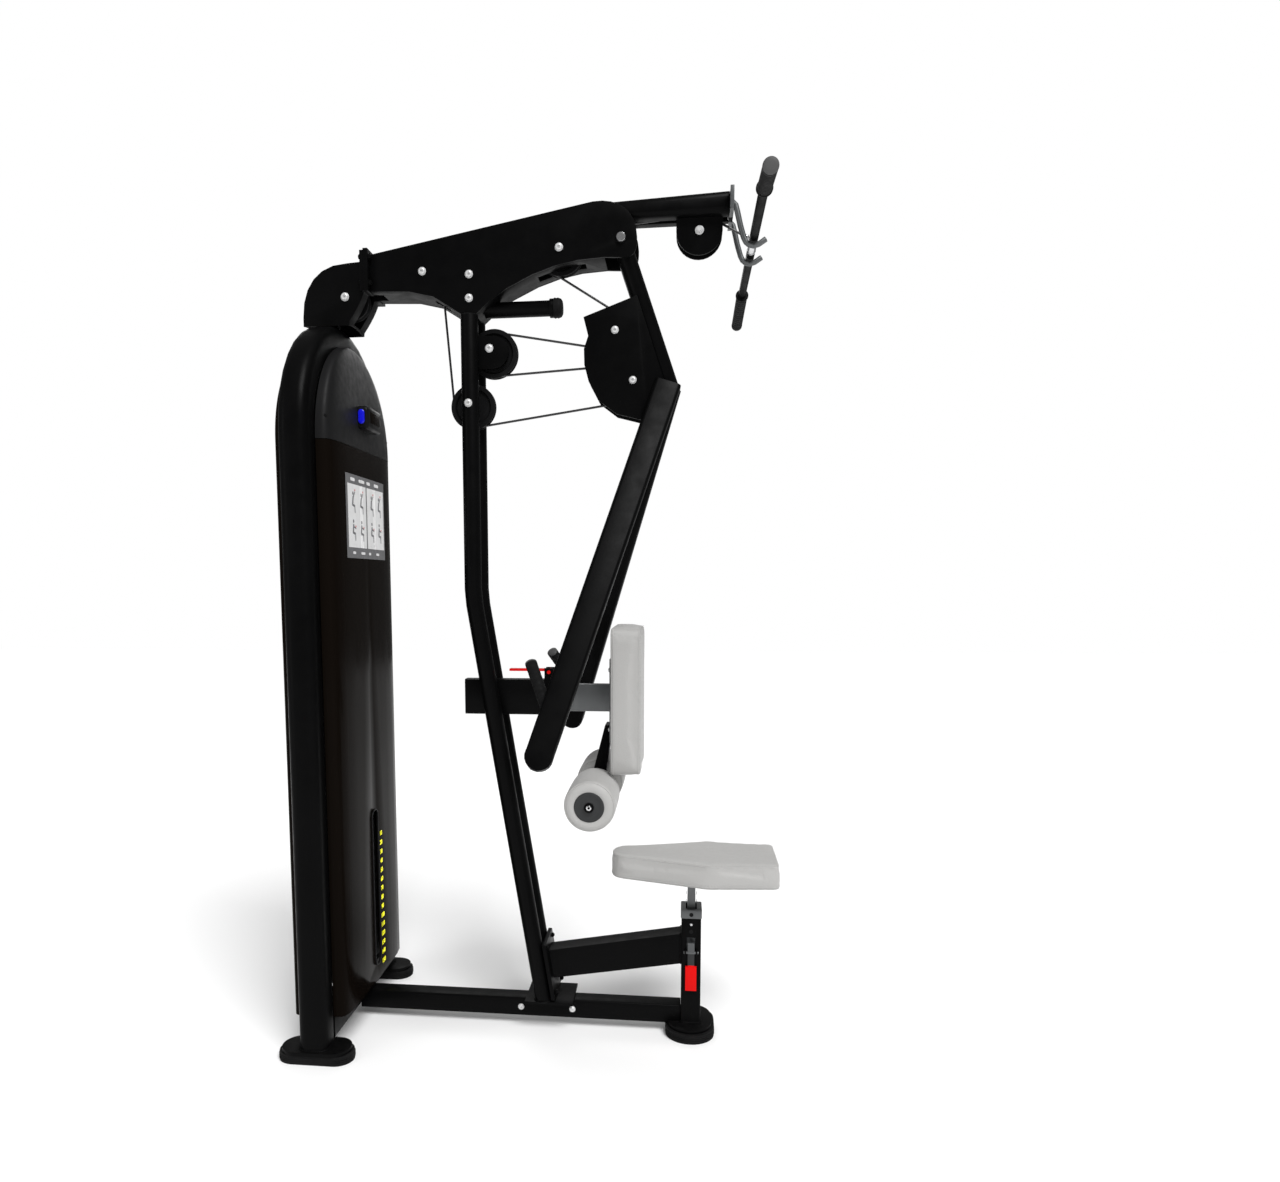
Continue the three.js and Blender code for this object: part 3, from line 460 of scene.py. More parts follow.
def turned(profile, start, direction, count=40):
    """A solid turned about an axis. A row is (distance along, radius), with a 6 after them for a hexagon."""
    heading = direction.normalized()
    side = heading.orthogonal().normalized()
    other = heading.cross(side)
    points = []
    for along, radius, *flats in profile:
        for k in range(count):
            turn = 2 * math.pi * k / count
            reach = radius
            if flats:
                reach *= math.cos(math.pi / 6) / math.cos(turn % (math.pi / 3) - math.pi / 6)
            spoke = side * math.cos(turn) + other * math.sin(turn)
            points.append(start + heading * (along * MM) + spoke * (reach * MM))
    faces = bands(len(profile), count)
    if profile[0][1] > 0 and profile[0][:2] != profile[-1][:2]:
        faces += lids(len(points), count)
    return points, faces


def refined(node, slot, width, angle=38):
    """A CAD node's own shape with its edges rounded off and its round faces shaded smooth."""
    mesh = frame["nodes"][node].data.copy()
    work = bmesh.new()
    work.from_mesh(mesh)
    bmesh.ops.remove_doubles(work, verts=work.verts, dist=2e-5)
    bmesh.ops.dissolve_limit(work, angle_limit=math.radians(0.6), verts=work.verts, edges=work.edges)
    work.to_mesh(mesh)
    work.free()
    work = bmesh.new()
    work.from_mesh(mesh)
    sharp = [
        e for e in work.edges if len(e.link_faces) == 2 and e.calc_face_angle(0.0) > math.radians(BEVEL_ANGLE)
    ]
    bmesh.ops.bevel(
        work, geom=sharp, offset=width * MM, segments=2, profile=0.6, affect="EDGES", clamp_overlap=True
    )
    work.to_mesh(mesh)
    work.free()
    body = frame["nodes"][node]["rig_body"]
    return piece(node + "_finished", mesh, FINISHES[slot], body, (node,), angle)


# Rows of turned() for a fastener of 8 mm: distances from its seat, and shares of its radius.
BOLT = ((-1, 1.16), (0.9, 1.16), (1.3, 1.1), (1.3, 1.0), (3.0, 1.0), (4.6, 0.86), (5.4, 0.6), (5.5, 0.46))
BOLT += ((5.5, 0.44, 6), (2.6, 0.42, 6), (2.4, 0.0))
NUT = ((-1, 1.4), (1.2, 1.4), (1.6, 1.3), (1.6, 1.12, 6), (7.5, 1.12, 6))
NUT += ((8.4, 0.95), (8.4, 0.6), (10.5, 0.58), (11, 0.5), (11, 0.0))


def fastener(shape, place, direction, radius=8.0, rows=BOLT):
    """A button-head bolt on its washer, or a nut on a bolt's end, with its seat at place."""
    profile = [(rows[0][0], 0.0)] + [(row[0] * radius / 8, row[1] * radius, *row[2:]) for row in rows]
    shape.add(*turned(profile, place, direction, 24))


def bolts(name, body, places, material=ZINC):
    shape = Shape()
    for fitting in places:
        fastener(shape, *fitting)
    piece(name, shape.mesh(name), material, body)


def resampled(path, step):
    """Points a step apart, in millimetres, along a closed path."""
    line = path + [path[0]]
    found, spare = [line[0]], 0.0
    for a, b in zip(line, line[1:]):
        length = (b - a).length
        along = step * MM - spare
        while along < length:
            found.append(a.lerp(b, along / length))
            along += step * MM
        spare = length - (along - step * MM)
    return found


def weld(shape, path, radius):
    """A weld bead round a joint, rippled as a torch leaves it."""
    line = resampled(path, 1.4)
    swell = [1 + 0.16 * math.sin(i * 1.9) + 0.1 * noise.noise(p * 300) for i, p in enumerate(line)]
    shape.add(*swept(line, circle(radius, 8), AXIS_Z, True, swell))


# ---- carried-over steelwork, each row a finish, the rounding of its edges in millimetres, and its nodes ----

CARRIED = (
    ("frame_paint", 1.2, "tower_frame post_frame base_tube seat_arm seat_sleeve pad_support_tube"),
    ("frame_paint", 1.2, "gooseneck_housing head_band head_plate_near head_plate_far boom_tube"),
    ("frame_paint", 1.2, "row_arm_upper row_arm_near row_arm_far cam_plate_near cam_plate_far roller_bracket"),
    ("grey_steel", 1.0, "pad_slide seat_inner_post storage_hooks"),
    ("chrome", 1.2, "guide_rod_near guide_rod_far"),
    ("grey_steel", 0.8, "selector_stem"),
    ("black_iron", 2.2, "weight_plates_resting weight_plates_lifted"),
    ("rubber", 4.0, "stack_buffer"),
    ("rubber", 2.5, "rubber_foot_near rubber_foot_far rubber_foot_seat"),
    ("red_plastic", 1.2, "pad_lever"),
)
for slot, width, nodes in CARRIED:
    for node in nodes.split():
        refined(node, slot, width)

# The boom's rear end is cut at a slant and lowered, to stay below the head plates.
BOOM_REAR, BOOM_UNDERSIDE, BOOM_HEIGHT = 720, 2.14, 0.05
BOOM_MITRE, BOOM_DIP = 62.0, 12.0
for vertex in bpy.data.objects["boom_tube_finished"].data.vertices:
    if vertex.co.x < at(BOOM_REAR, 0, 0).x and vertex.co.z > BOOM_UNDERSIDE:
        share = min(1.0, (vertex.co.z - BOOM_UNDERSIDE) / BOOM_HEIGHT)
        vertex.co.x += BOOM_MITRE * MM * share
        vertex.co.z -= BOOM_DIP * MM * share

# The seat's plate is drawn in under the cushion.
SEAT_PLATE_UNDERSIDE, SEAT_PLATE_SHARE = 0.425, 0.72
post_middle = at(SEAT_X, 0, 0).x
for vertex in bpy.data.objects["seat_inner_post_finished"].data.vertices:
    if vertex.co.z > SEAT_PLATE_UNDERSIDE:
        vertex.co.x = post_middle + (vertex.co.x - post_middle) * SEAT_PLATE_SHARE
        vertex.co.y *= SEAT_PLATE_SHARE

LEVER_LEVELS = (0.2, 0.232)


def seat_lever():
    """The seat's release lever: a red grip moulded on a black blade, with a steel end."""
    lever = refined("seat_lever", "red_plastic", 1.6)
    work = bmesh.new()
    work.from_mesh(lever.data)
    for level in LEVER_LEVELS:
        parts = [*work.verts, *work.edges, *work.faces]
        bmesh.ops.bisect_plane(work, geom=parts, plane_co=(0, 0, level), plane_no=AXIS_Z)
    for face in work.faces:
        face.material_index = sum(face.calc_center_median().z > level for level in LEVER_LEVELS)
    work.to_mesh(lever.data)
    work.free()
    lever.data.materials.append(HUB_PLASTIC)
    lever.data.materials.append(FINISHES["grey_steel"])


seat_lever()


# ---- tower: panels, cap and placard ----

SHROUD_BACK, SHROUD_DEEP, SHROUD_HALF = 38.6, 41.4, 245.0
SHROUD_FOOT = 102.0
CAP_FOOT, CAP_RISE = 1587.0, 268.0
SLOT_HALF, SLOT_LOW, SLOT_HIGH, SLOT_CORNER = 24.0, 147.0, 597.0, 21.0


def shroud_x(y):
    """How far forward the front panel's face is, at that distance across."""
    share = min(1.0, abs(y) / SHROUD_HALF)
    return SHROUD_BACK + SHROUD_DEEP * (1 - share**5) ** 0.2


def plan_points(count=72):
    """The panel's plan from one edge to the other, close together where it curves most."""
    found = []
    for k in range(count + 1):
        turn = math.pi * k / count
        share = -math.copysign(abs(math.cos(turn)) ** 0.4, math.cos(turn))
        found.append((SHROUD_DEEP * abs(math.sin(turn)) ** 0.4, SHROUD_HALF * share))
    return found


def skin(name, sign, levels, thickness, slot, node):
    """A thin curved shell. Each level is (height, share of the depth, share of the width)."""
    plan = plan_points()
    points = []
    for inward in (0.0, thickness):
        for height, deep, wide in levels:
            z = height - min(inward * (1 - wide) * 1.6, inward)
            inset = 1 - inward / SHROUD_HALF
            for out, across in plan:
                x = sign * (SHROUD_BACK + max(0.0, out - inward) * deep)
                points.append(at(x, across * wide * inset, z))
    count, half = len(plan), len(levels)
    faces = []
    for side in (0, half):
        for i in range(half - 1):
            for k in range(count - 1):
                a = (side + i) * count + k
                faces.append((a, a + 1, a + count + 1, a + count))
    inner, top = half * count, (half - 1) * count
    for k in range(count - 1):
        faces.append((k, k + 1, inner + k + 1, inner + k))
        faces.append((top + k, top + k + 1, inner + top + k + 1, inner + top + k))
    for i in range(half - 1):
        for k in (0, count - 1):
            a, b = i * count + k, (i + 1) * count + k
            faces.append((a, b, inner + b, inner + a))
    part(name, Shape().add(points, faces), "root", slot, (node,), 50)


def dome_levels(steps=30):
    """The cap's sections, from its foot to its crown."""
    found = []
    for k in range(steps + 1):
        climb = math.sin(k / steps * 0.985 * math.pi / 2)
        shrink = math.sqrt(1 - climb * climb)
        found.append((CAP_FOOT + CAP_RISE * climb, 0.25 + 0.75 * shrink, shrink))
    return found


skin("front_cap_shell", 1, dome_levels(), 5.0, "cap_plastic", "front_cap")
rear_levels = [(SHROUD_FOOT, 1, 1), (CAP_FOOT - 1, 1, 1)] + dome_levels()
skin("rear_cover", -1, rear_levels, 4.0, "smoked_panel", "rear_shroud")
refined("front_shroud", "smoked_panel", 0.9, 50)


def slot_trim():
    """The moulded edging round the pin slot."""
    outline = rounded(SLOT_HALF, (SLOT_HIGH - SLOT_LOW) / 2, SLOT_CORNER, 8)
    middle = (SLOT_HIGH + SLOT_LOW) / 2
    path = [at(shroud_x(y) + 0.2, y, middle + z) for y, z in outline]
    shape = Shape().add(*swept(resampled(path, 6), rounded(1.6, 2.6, 1.2, 3), AXIS_X, True))
    part("slot_trim", shape, "root", "black_plastic")


slot_trim()

FILM_THICK = 0.25
SHEET_PROUD, PANEL_PROUD, MARK_PROUD, DOT_PROUD = 0.7, 1.0, 1.3, 1.45


def film(shape, outline, lift):
    """A thin film on the panel's face. The outline is in (across, up), and lift is how far proud it lies."""
    count = len(outline)
    front = [at(shroud_x(y) + lift, y, z) for y, z in outline]
    back = [at(shroud_x(y) + lift - FILM_THICK, y, z) for y, z in outline]
    faces = [tuple(range(count)), tuple(range(2 * count - 1, count - 1, -1))]
    faces += [(k, k + count, (k + 1) % count + count, (k + 1) % count) for k in range(count)]
    shape.add(front + back, faces)


def strip(shape, low, high, lift):
    """A film rectangle, cut into columns so that it follows the panel's curve."""
    columns = max(1, round((high[0] - low[0]) / 12))
    for k in range(columns):
        left, right = (low[0] + (high[0] - low[0]) * (k + j) / columns for j in (0, 1))
        film(shape, [(left, low[1]), (right, low[1]), (right, high[1]), (left, high[1])], lift)


def limb(shape, start, end, width, lift=MARK_PROUD):
    """A round-ended stroke."""
    along = math.atan2(end[1] - start[1], end[0] - start[0])
    outline = []
    for centre, first in ((start, along + math.pi / 2), (end, along - math.pi / 2)):
        for k in range(7):
            turn = first + math.pi * k / 6
            outline.append((centre[0] + width * math.cos(turn), centre[1] + width * math.sin(turn)))
    film(shape, outline, lift)


def figure(marks, dots, y, z, raised):
    """A plain figure on a seat, with a dot at its hand. (y, z) is its corner."""
    reach = (26, z + 46) if raised else (28, z + 24)
    limb(marks, (y + 12, z + 42), (y + 12.2, z + 42), 4.6)
    limb(marks, (y + 12, z + 31), (y + 8, z + 14), 4.2)
    limb(marks, (y + 11, z + 29), (y + reach[0], reach[1]), 2.0)
    limb(marks, (y + 8, z + 12), (y + 24, z + 10), 3.0)
    limb(marks, (y + 24, z + 10), (y + 25, z - 6), 2.4)
    limb(dots, (y + reach[0], reach[1] + 5), (y + reach[0] + 0.2, reach[1] + 5), 2.6, DOT_PROUD)


def placard():
    """The instruction placard, with plain figures and bars in place of its words."""
    sheet, panels, marks, dots, bars = Shape(), Shape(), Shape(), Shape(), Shape()
    strip(sheet, (-155, 1298), (150, 1515), SHEET_PROUD)
    strip(panels, (-142, 1326), (-6, 1490), PANEL_PROUD)
    strip(panels, (3, 1326), (142, 1490), PANEL_PROUD)
    for left in (-118, 27):
        for column, row in ((0, 0), (1, 0), (0, 1), (1, 1)):
            figure(marks, dots, left + column * 62, 1352 + row * 72, row)
    for k, width in enumerate((34, 52, 28, 40)):
        left = -118 + k * 62
        limb(bars, (left, 1502), (left + width * 0.7, 1502), 4.2)
        limb(bars, (left + 6, 1312), (left + width * 0.6, 1312), 3.4)
    for k in range(12):
        left, z = -134 + (k // 6) * 145, 1334 + (k % 6) * 1.0
        limb(bars, (left, z), (left + 40 + 9 * (k % 3), z), 0.5)
    for name, shape, material in (
        ("placard_sheet", sheet, INK_GREY),
        ("placard_panels", panels, INK_WHITE),
        ("placard_figures", marks, INK_DARK),
        ("placard_dots", dots, INK_RED),
        ("placard_bars", bars, INK_WHITE),
    ):
        piece(name, shape.mesh(name), material, "root")


placard()

POD_Y = 12


def pod_path(x, z, levels):
    return [at(x, y + POD_Y, z) for y in levels]


def rep_counter():
    """The counter pod on the cap, with its button on the near end."""
    swell = [0.72, 0.9, 1.0, 1.03, 1.0, 0.9, 0.72]
    path = pod_path(89, 1670, (-56, -54.5, -51, 0, 51, 54.5, 56))
    pod = Shape().add(*swept(path, rounded(17, 30, 10, 6), AXIS_Z, False, swell))
    part("counter_pod", pod, "root", "black_plastic", (), 45)
    path = pod_path(106.2, 1672, (-36, -35, 35, 36))
    window = Shape().add(*swept(path, rounded(1.2, 15, 1.1), AXIS_Z, False, [0.9, 1, 1, 0.9]))
    part("counter_window", window, "root", "smoked_panel")
    path = pod_path(88, 1672, (-54, -57.4, -58.4, -58.8))
    button = Shape().add(*swept(path, rounded(8.5, 19, 8.4, 8), AXIS_Z, False, [1, 1, 0.92, 0.7]))
    piece("counter_button", button.mesh("counter_button"), INK_BLUE, "root")
    screws = Shape()
    fastener(screws, at(75, -42.5, 1691), -AXIS_Y, 2.6)
    fastener(screws, at(75, -43, 1674), -AXIS_Y, 2.6)
    part("counter_screws", screws, "root", "chrome")


rep_counter()


def cap_screws():
    """The two screws that hold the cap's lower corners."""
    shape = Shape()
    for _, sign in SIDES:
        fastener(shape, at(64, sign * 236.5, 1644), Vector((0.35, sign, 0)), 3.2)
    part("cap_screws", shape, "root", "black_plastic")


cap_screws()

NUMERAL_SIZE, NUMERAL_RELIEF = 19, 0.0002
PLATES, PLATE_PITCH, FIRST_NUMBER, LOAD_STEP = 15, 27, 516, 10


def numeral(text, place):
    """A number that faces forward, lying on the panel."""
    curve = bpy.data.curves.new("numeral", "FONT")
    curve.body = text
    curve.size = NUMERAL_SIZE * MM
    curve.extrude = NUMERAL_RELIEF
    curve.align_x = curve.align_y = "CENTER"
    holder = bpy.data.objects.new("numeral", curve)
    scene.collection.objects.link(holder)
    mesh = evaluated(holder)
    bpy.data.objects.remove(holder)
    facing = Matrix(((0, 0, 1), (1, 0, 0), (0, 1, 0))).to_4x4()
    mesh.transform(Matrix.Translation(place) @ facing)
    return mesh


def stack_numbers():
    """Each plate's load, printed beside the slot in generic steps, in yellow ink with a painted glow."""
    gathered = Shape()
    for k in range(PLATES):
        place = at(shroud_x(48) + 0.5, 49, FIRST_NUMBER - PLATE_PITCH * k)
        mesh = numeral(str(LOAD_STEP * (k + 1)), place)
        gathered.add([v.co.copy() for v in mesh.vertices], [tuple(p.vertices) for p in mesh.polygons])
        bpy.data.meshes.remove(mesh)
    piece("stack_numbers", gathered.mesh("stack_numbers"), INK_YELLOW_PAINTED_GLOW, "root")


stack_numbers()


def rod_ends():
    """Rubber donuts and steel collars at the guide rods' feet."""
    donut = ((0, 14), (0, 26), (4, 30), (20, 30), (26, 27), (28, 22), (28, 14))
    collar = ((0, 13), (0, 20), (1, 21), (15, 21), (16, 20), (16, 13))
    donuts, collars = Shape(), Shape()
    for y in (-100, 100):
        donuts.add(*turned(donut, at(STACK_X, y, 124), AXIS_Z))
        collars.add(*turned(collar, at(STACK_X, y, 107), AXIS_Z))
    part("rod_donuts", donuts, "root", "rubber")
    part("rod_collars", collars, "root", "chrome")


rod_ends()


def pin(z=489.5):
    """The weight selector pin: steel shank, ribbed knob and its cap."""
    shank = ((0, 0), (0, 2.5), (4, 4.7), (51, 4.7), (51, 0))
    shape = Shape().add(*turned(shank, at(10, 0, z), AXIS_X))
    part("selector_shank", shape, "selector_pin", "chrome", ("selector_pin",))
    knob = [(0, 0), (0, 5), (0, 10), (1.2, 12)]
    for k in range(4):
        knob += [(2 + k * 2, 12.6), (3 + k * 2, 12.0)]
    knob += [(10.5, 12.4), (12, 11.2), (12.6, 8.5), (12.4, 0)]
    part("selector_knob", Shape().add(*turned(knob, at(60.4, 0, z), AXIS_X)), "selector_pin", "black_plastic")


pin()


# ---- head, pulleys and cables ----


class Wheel:
    """A pulley's centre, the radius of its cable's middle line, and which way the cable runs round it."""

    def __init__(self, x, z, rope=0, turn=0):
        self.x, self.z, self.rope, self.turn = x, z, rope, turn


WHEELS = {
    "gooseneck": Wheel(58, 1974, 40, -1),
    "head_rear": Wheel(264, 2031, 38, -1),
    "post_lower": Wheel(383, 1695, 52, 1),
    "row_lower": Wheel(806, 1748, 46, 1),
    "post_upper": Wheel(440, 1830, 56, -1),
    "row_upper": Wheel(760, 1874, 44, 1),
    "head_front": Wheel(620, 2075, 50, -1),
    "boom": Wheel(972, 2112, 45, -1),
}
CABLE_RADIUS = 3.0
LEAD_SPLIT = 1034.0
CABLE_START, CABLE_END = Wheel(STACK_X, 619.8), Wheel(1084, 2100)


def tangent(first, second):
    """Where a cable leaves one wheel and meets the next."""
    dx, dz = second.x - first.x, second.z - first.z
    rise = (second.turn * second.rope - first.turn * first.rope) / math.hypot(dx, dz)
    heading = math.atan2(dz, dx) - math.asin(rise)
    left = (-math.sin(heading), math.cos(heading))
    return [(w.x - w.turn * w.rope * left[0], w.z - w.turn * w.rope * left[1]) for w in (first, second)]


def wrap(wheel, start, end):
    """Points round a wheel, from where the cable meets it to where it leaves."""
    first = math.atan2(start[1] - wheel.z, start[0] - wheel.x)
    last = math.atan2(end[1] - wheel.z, end[0] - wheel.x)
    sweep = (last - first) * wheel.turn % (2 * math.pi) * wheel.turn
    steps = max(2, round(abs(sweep) / math.radians(5)))
    turns = [first + sweep * k / steps for k in range(steps + 1)]
    return [(wheel.x + wheel.rope * math.cos(turn), wheel.z + wheel.rope * math.sin(turn)) for turn in turns]


def straight(start, end):
    steps = max(2, round(math.dist(start, end) / 25))
    rise = (end[0] - start[0], end[1] - start[1])
    return [(start[0] + rise[0] * k / steps, start[1] + rise[1] * k / steps) for k in range(steps + 1)]


def mid(x, z):
    """A place in the machine's middle plane."""
    return at(x, 0, z)


def cable(name, route, body, stands_for=()):
    """A cable length along a route of (x, z) points in the machine's middle plane."""
    path = []
    for x, z in route:
        place = mid(x, z)
        if not path or (place - path[-1]).length > 0.0008:
            path.append(place)
    shape = Shape().add(*swept(path, circle(CABLE_RADIUS, 12), AXIS_Y))
    return part(name, shape, body, "cable_sheath", stands_for, 60)


def cables():
    order = [CABLE_START, *WHEELS.values(), CABLE_END]
    meets = [tangent(a, b) for a, b in zip(order, order[1:])]
    wraps = {name: wrap(WHEELS[name], meets[i][1], meets[i + 1][0]) for i, name in enumerate(WHEELS)}
    runs = [straight(*pair) for pair in meets]
    rise = cable("cable_rise", runs[0], None, ("cable_stack",))
    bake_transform(rise)
    rear = wraps["gooseneck"] + runs[1] + wraps["head_rear"] + runs[2]
    cable("cable_back_run", rear + wraps["post_lower"], "root", ("cable_rear",))
    lower = cable("cable_row_lower_loop", runs[3] + wraps["row_lower"] + runs[4], None, ("cable_arm_loops",))
    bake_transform(lower)
    cable("cable_post_upper_wrap", wraps["post_upper"], "root")
    upper = cable("cable_row_upper_run", runs[5], None)
    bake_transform(upper)
    cable("cable_row_upper_wrap", wraps["row_upper"], "row_arm")
    climb = cable("cable_head_climb", runs[6], None)
    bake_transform(climb)
    cable("cable_front_run", wraps["head_front"] + runs[7] + wraps["boom"], "root", ("cable_front",))
    start, end = meets[8]
    share = (LEAD_SPLIT - start[0]) / (end[0] - start[0])
    split = (LEAD_SPLIT, start[1] + (end[1] - start[1]) * share)
    inner = cable("lat_lead_inner", straight(start, split), None, ("lat_cable_lead",))
    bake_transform(inner)
    outer = cable("lat_lead_outer", straight(split, end), None, ("lat_cable_lead",))
    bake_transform(outer)


cables()

WHEEL_HALF, WHEEL_BORE, WHEEL_HUB, WHEEL_RIBS = 11.0, 9.8, 19.0, 6


def pulley(name, wheel):
    """A moulded pulley: grooved rim, dished web with ribs, and a bearing hub."""
    half, hub = WHEEL_HALF, WHEEL_HUB
    rim, groove = wheel.rope + 7, wheel.rope - 3.5
    web = rim - 13
    side = [(-half, WHEEL_BORE), (-half, hub - 1), (-half + 1, hub), (-5, hub + 1.5), (-5, web - 2)]
    side += [(-8.5, web), (-half + 0.8, web + 1), (-half, web + 2), (-half, rim - 1.2), (-half + 1.2, rim)]
    profile = list(side)
    for k in range(9):
        share = k / 8 * 2 - 1
        depth = (rim - groove) * math.cos(share * math.pi / 2) ** 0.7 if abs(share) < 1 else 0
        profile.append((share * 8.4, rim - depth))
    profile += [(-along, radius) for along, radius in side][::-1] + [side[0]]
    centre = at(wheel.x, 0, wheel.z)
    shape = Shape().add(*turned(profile, centre, AXIS_Y, 72))
    for k in range(WHEEL_RIBS):
        turn = 2 * math.pi * k / WHEEL_RIBS
        spoke = Vector((math.cos(turn), 0, math.sin(turn)))
        path = [centre + spoke * (r * MM) for r in (hub - 2, (hub + web) / 2, web + 1)]
        shape.add(*swept(path, rounded(2.0, 8.6, 1.2, 3), spoke.cross(AXIS_Y)))
    body = "pulley_" + name
    part(body + "_wheel", shape, body, "black_plastic", (body,), 35)
    race = Shape()
    rows = ((0, 10.2), (0, 16), (0.6, 16.4), (0.6, 14.6), (0.9, 13.8), (0.9, 10.4))
    for way in (-1, 1):
        race.add(*turned(rows, centre + AXIS_Y * (way * half * MM), AXIS_Y * way))
    part(body + "_bearing", race, body, "chrome")


for name, wheel in WHEELS.items():
    pulley(name, wheel)

HEAD_FACE, POST_FACE, BASE_FACE, CAM_FACE = 55.3, 68, 27, 30.8
HEAD_BOLTS = ((264, 2031), (387, 2019), (386, 1960), (620, 2075))
CAM_BOLTS = ((760, 1874), (806, 1748))


def fasteners():
    """Bolts and nuts, each as (place, direction, radius, rows)."""
    bright, black, cams, plate = [], [], [], []
    for _, sign in SIDES:
        out = AXIS_Y * sign
        bright += [(at(x, sign * HEAD_FACE, z), out, 9.0, BOLT) for x, z in HEAD_BOLTS]
        bright.append((at(58, sign * 60, 1974), out, 9.5, BOLT))
        bright.append((at(972, sign * 20, 2112), out, 8.0, NUT))
        for z in (2070, 2006):
            black.append((at(124.4, sign * 64, z), AXIS_X, 6.5, NUT))
            black.append((at(103, sign * 66, z), -AXIS_X, 6.0, BOLT))
        bright += [(at(x, sign * POST_FACE, z), out, 9.0, BOLT) for x, z in ((440, 1830), (383, 1695))]
        bright += [(at(x, sign * BASE_FACE, 52), out, 7.5, BOLT) for x in (499, 643)]
        tilted = Vector((1, 0, 0.17))
        black += [(at(x, sign * 48, z), tilted, 6.0, NUT) for x, z in ((575.5, 234), (601, 108))]
        cams += [(at(x, sign * CAM_FACE, z), out, 8.5, BOLT) for x, z in CAM_BOLTS]
        plate += [(at(746.8, sign * 30, z), -AXIS_X, 5.5, BOLT) for z in (840, 1000)]
    bolts("frame_bolts", "root", bright)
    bolts("flange_nuts", "root", black, FINISHES["frame_paint"])
    bolts("cam_bolts", "row_arm", cams)
    bolts("pad_plate_bolts", "pad_carriage", plate)


fasteners()

FOOT_TOP = 34.4
GRIP_FOOT, GRIP_END = (621, 299, 918), (561, 191, 1033)
GRIP_ROOT = (628, 312, 905)


def welds():
    root_beads, arm_beads, pad_beads = Shape(), Shape(), Shape()
    for _, sign in SIDES:
        weld(root_beads, [at(u, sign * 265 + v, FOOT_TOP) for u, v in rounded(38.5, 38.5, 24)], 3.2)
        weld(root_beads, [at(565.4 + u * 1.02, sign * 45 + v, 86.4) for u, v in circle(23.6, 24)], 2.8)
        end, root = (at(x, sign * y, z) for x, y, z in (GRIP_END, GRIP_ROOT))
        grip_axis = (end - root).normalized()
        side = grip_axis.orthogonal().normalized()
        other = grip_axis.cross(side)
        seat = at(624, sign * 305, 912)
        weld(arm_beads, [seat + side * (u * MM) + other * (v * MM) for u, v in circle(14.5, 20)], 2.2)
    weld(root_beads, [at(941.2, u, 240.5 + v) for u, v in rounded(30.4, 42, 5)], 3.0)
    weld(root_beads, [at(SEAT_X + u, v, FOOT_TOP) for u, v in rounded(27, 35.5, 5)], 2.8)
    weld(pad_beads, [at(746.6, u, 923 + v) for u, v in rounded(14.8, 37.2, 4)], 2.2)
    part("frame_welds", root_beads, "root", "frame_paint", (), 70)
    part("arm_welds", arm_beads, "row_arm", "frame_paint", (), 70)
    part("pad_welds", pad_beads, "pad_carriage", "grey_steel", (), 70)


welds()


def bumper():
    """The rubber stop on the head, ribbed round its edge."""
    rows = [(0, 0), (0, 20), (1, 24.5), (4, 25.8), (8, 24.2), (12, 25.6), (16, 24)]
    rows += [(20, 22.5), (23.5, 17), (24.3, 9), (24.4, 0)]
    shape = Shape().add(*turned(rows, at(598.4, 0, 1942), AXIS_X))
    part("bumper_stop", shape, "root", "rubber", ("bumper_rubber",), 50)


bumper()


def pivot_shaft():
    rows = [(-63.8, 0), (-63.8, 8), (-63, 11), (-60, 13), (-57, 13), (-55.9, 12), (-55.9, 9.7)]
    rows += [(-along, radius) for along, radius in reversed(rows)]
    shape = Shape().add(*turned(rows, at(777, 0, 2091), AXIS_Y))
    part("row_pivot", shape, "root", "chrome", ("row_pivot_shaft",), 35)


pivot_shaft()


# ---- handles ----

CAP_SEAT = 6


def grip(name, start, end, radius, body, node, ribs):
    """A moulded rubber grip: ribbed sleeve with a flange at its root and a cap on its end."""
    axis = end - start
    length = axis.length / MM
    rows = [(0, 0), (0, radius + 0.5), (0.8, radius + 2.4), (4.6, radius + 2.4), (6, radius + 0.4), (8, radius)]
    step = (length - 26) / ribs
    for k in range(ribs):
        first = 10 + k * step
        rows += [(first, radius), (first + step * 0.12, radius - 0.9)]
        rows += [(first + step * 0.3, radius - 0.9), (first + step * 0.42, radius)]
    rows += [(length - 12, radius), (length - 9, radius + 0.3), (length - 6, radius - 1.0), (length - 6, 0)]
    part(name, Shape().add(*turned(rows, start, axis, 40)), body, "rubber", (node,), 32)
    rows = [(0, 0), (0, radius - 1.2), (1.2, radius + 0.3), (4, radius), (6.5, radius * 0.8)]
    rows += [(7.6, radius * 0.45), (7.9, 0)]
    cap = Shape().add(*turned(rows, end - axis.normalized() * (CAP_SEAT * MM), axis, 40))
    piece(name + "_cap", cap.mesh(name + "_cap"), CAP_LIGHT, body, (), 50)


BAR_X, BAR_Z, BAR_HALF = 1104, 2072.5, 573
BEND_START, BEND_END = 305, 355


def bar_drop(y):
    """How far past the bar's bend that distance along it is, with the bend rounded."""
    reach = abs(y)
    if reach < BEND_START:
        return 0.0
    if reach > BEND_END:
        return reach - (BEND_START + BEND_END) / 2
    return (reach - BEND_START) ** 2 / (2 * (BEND_END - BEND_START))


def bar_point(y):
    return at(BAR_X - 0.02 * bar_drop(y), y, BAR_Z - 0.181 * bar_drop(y))


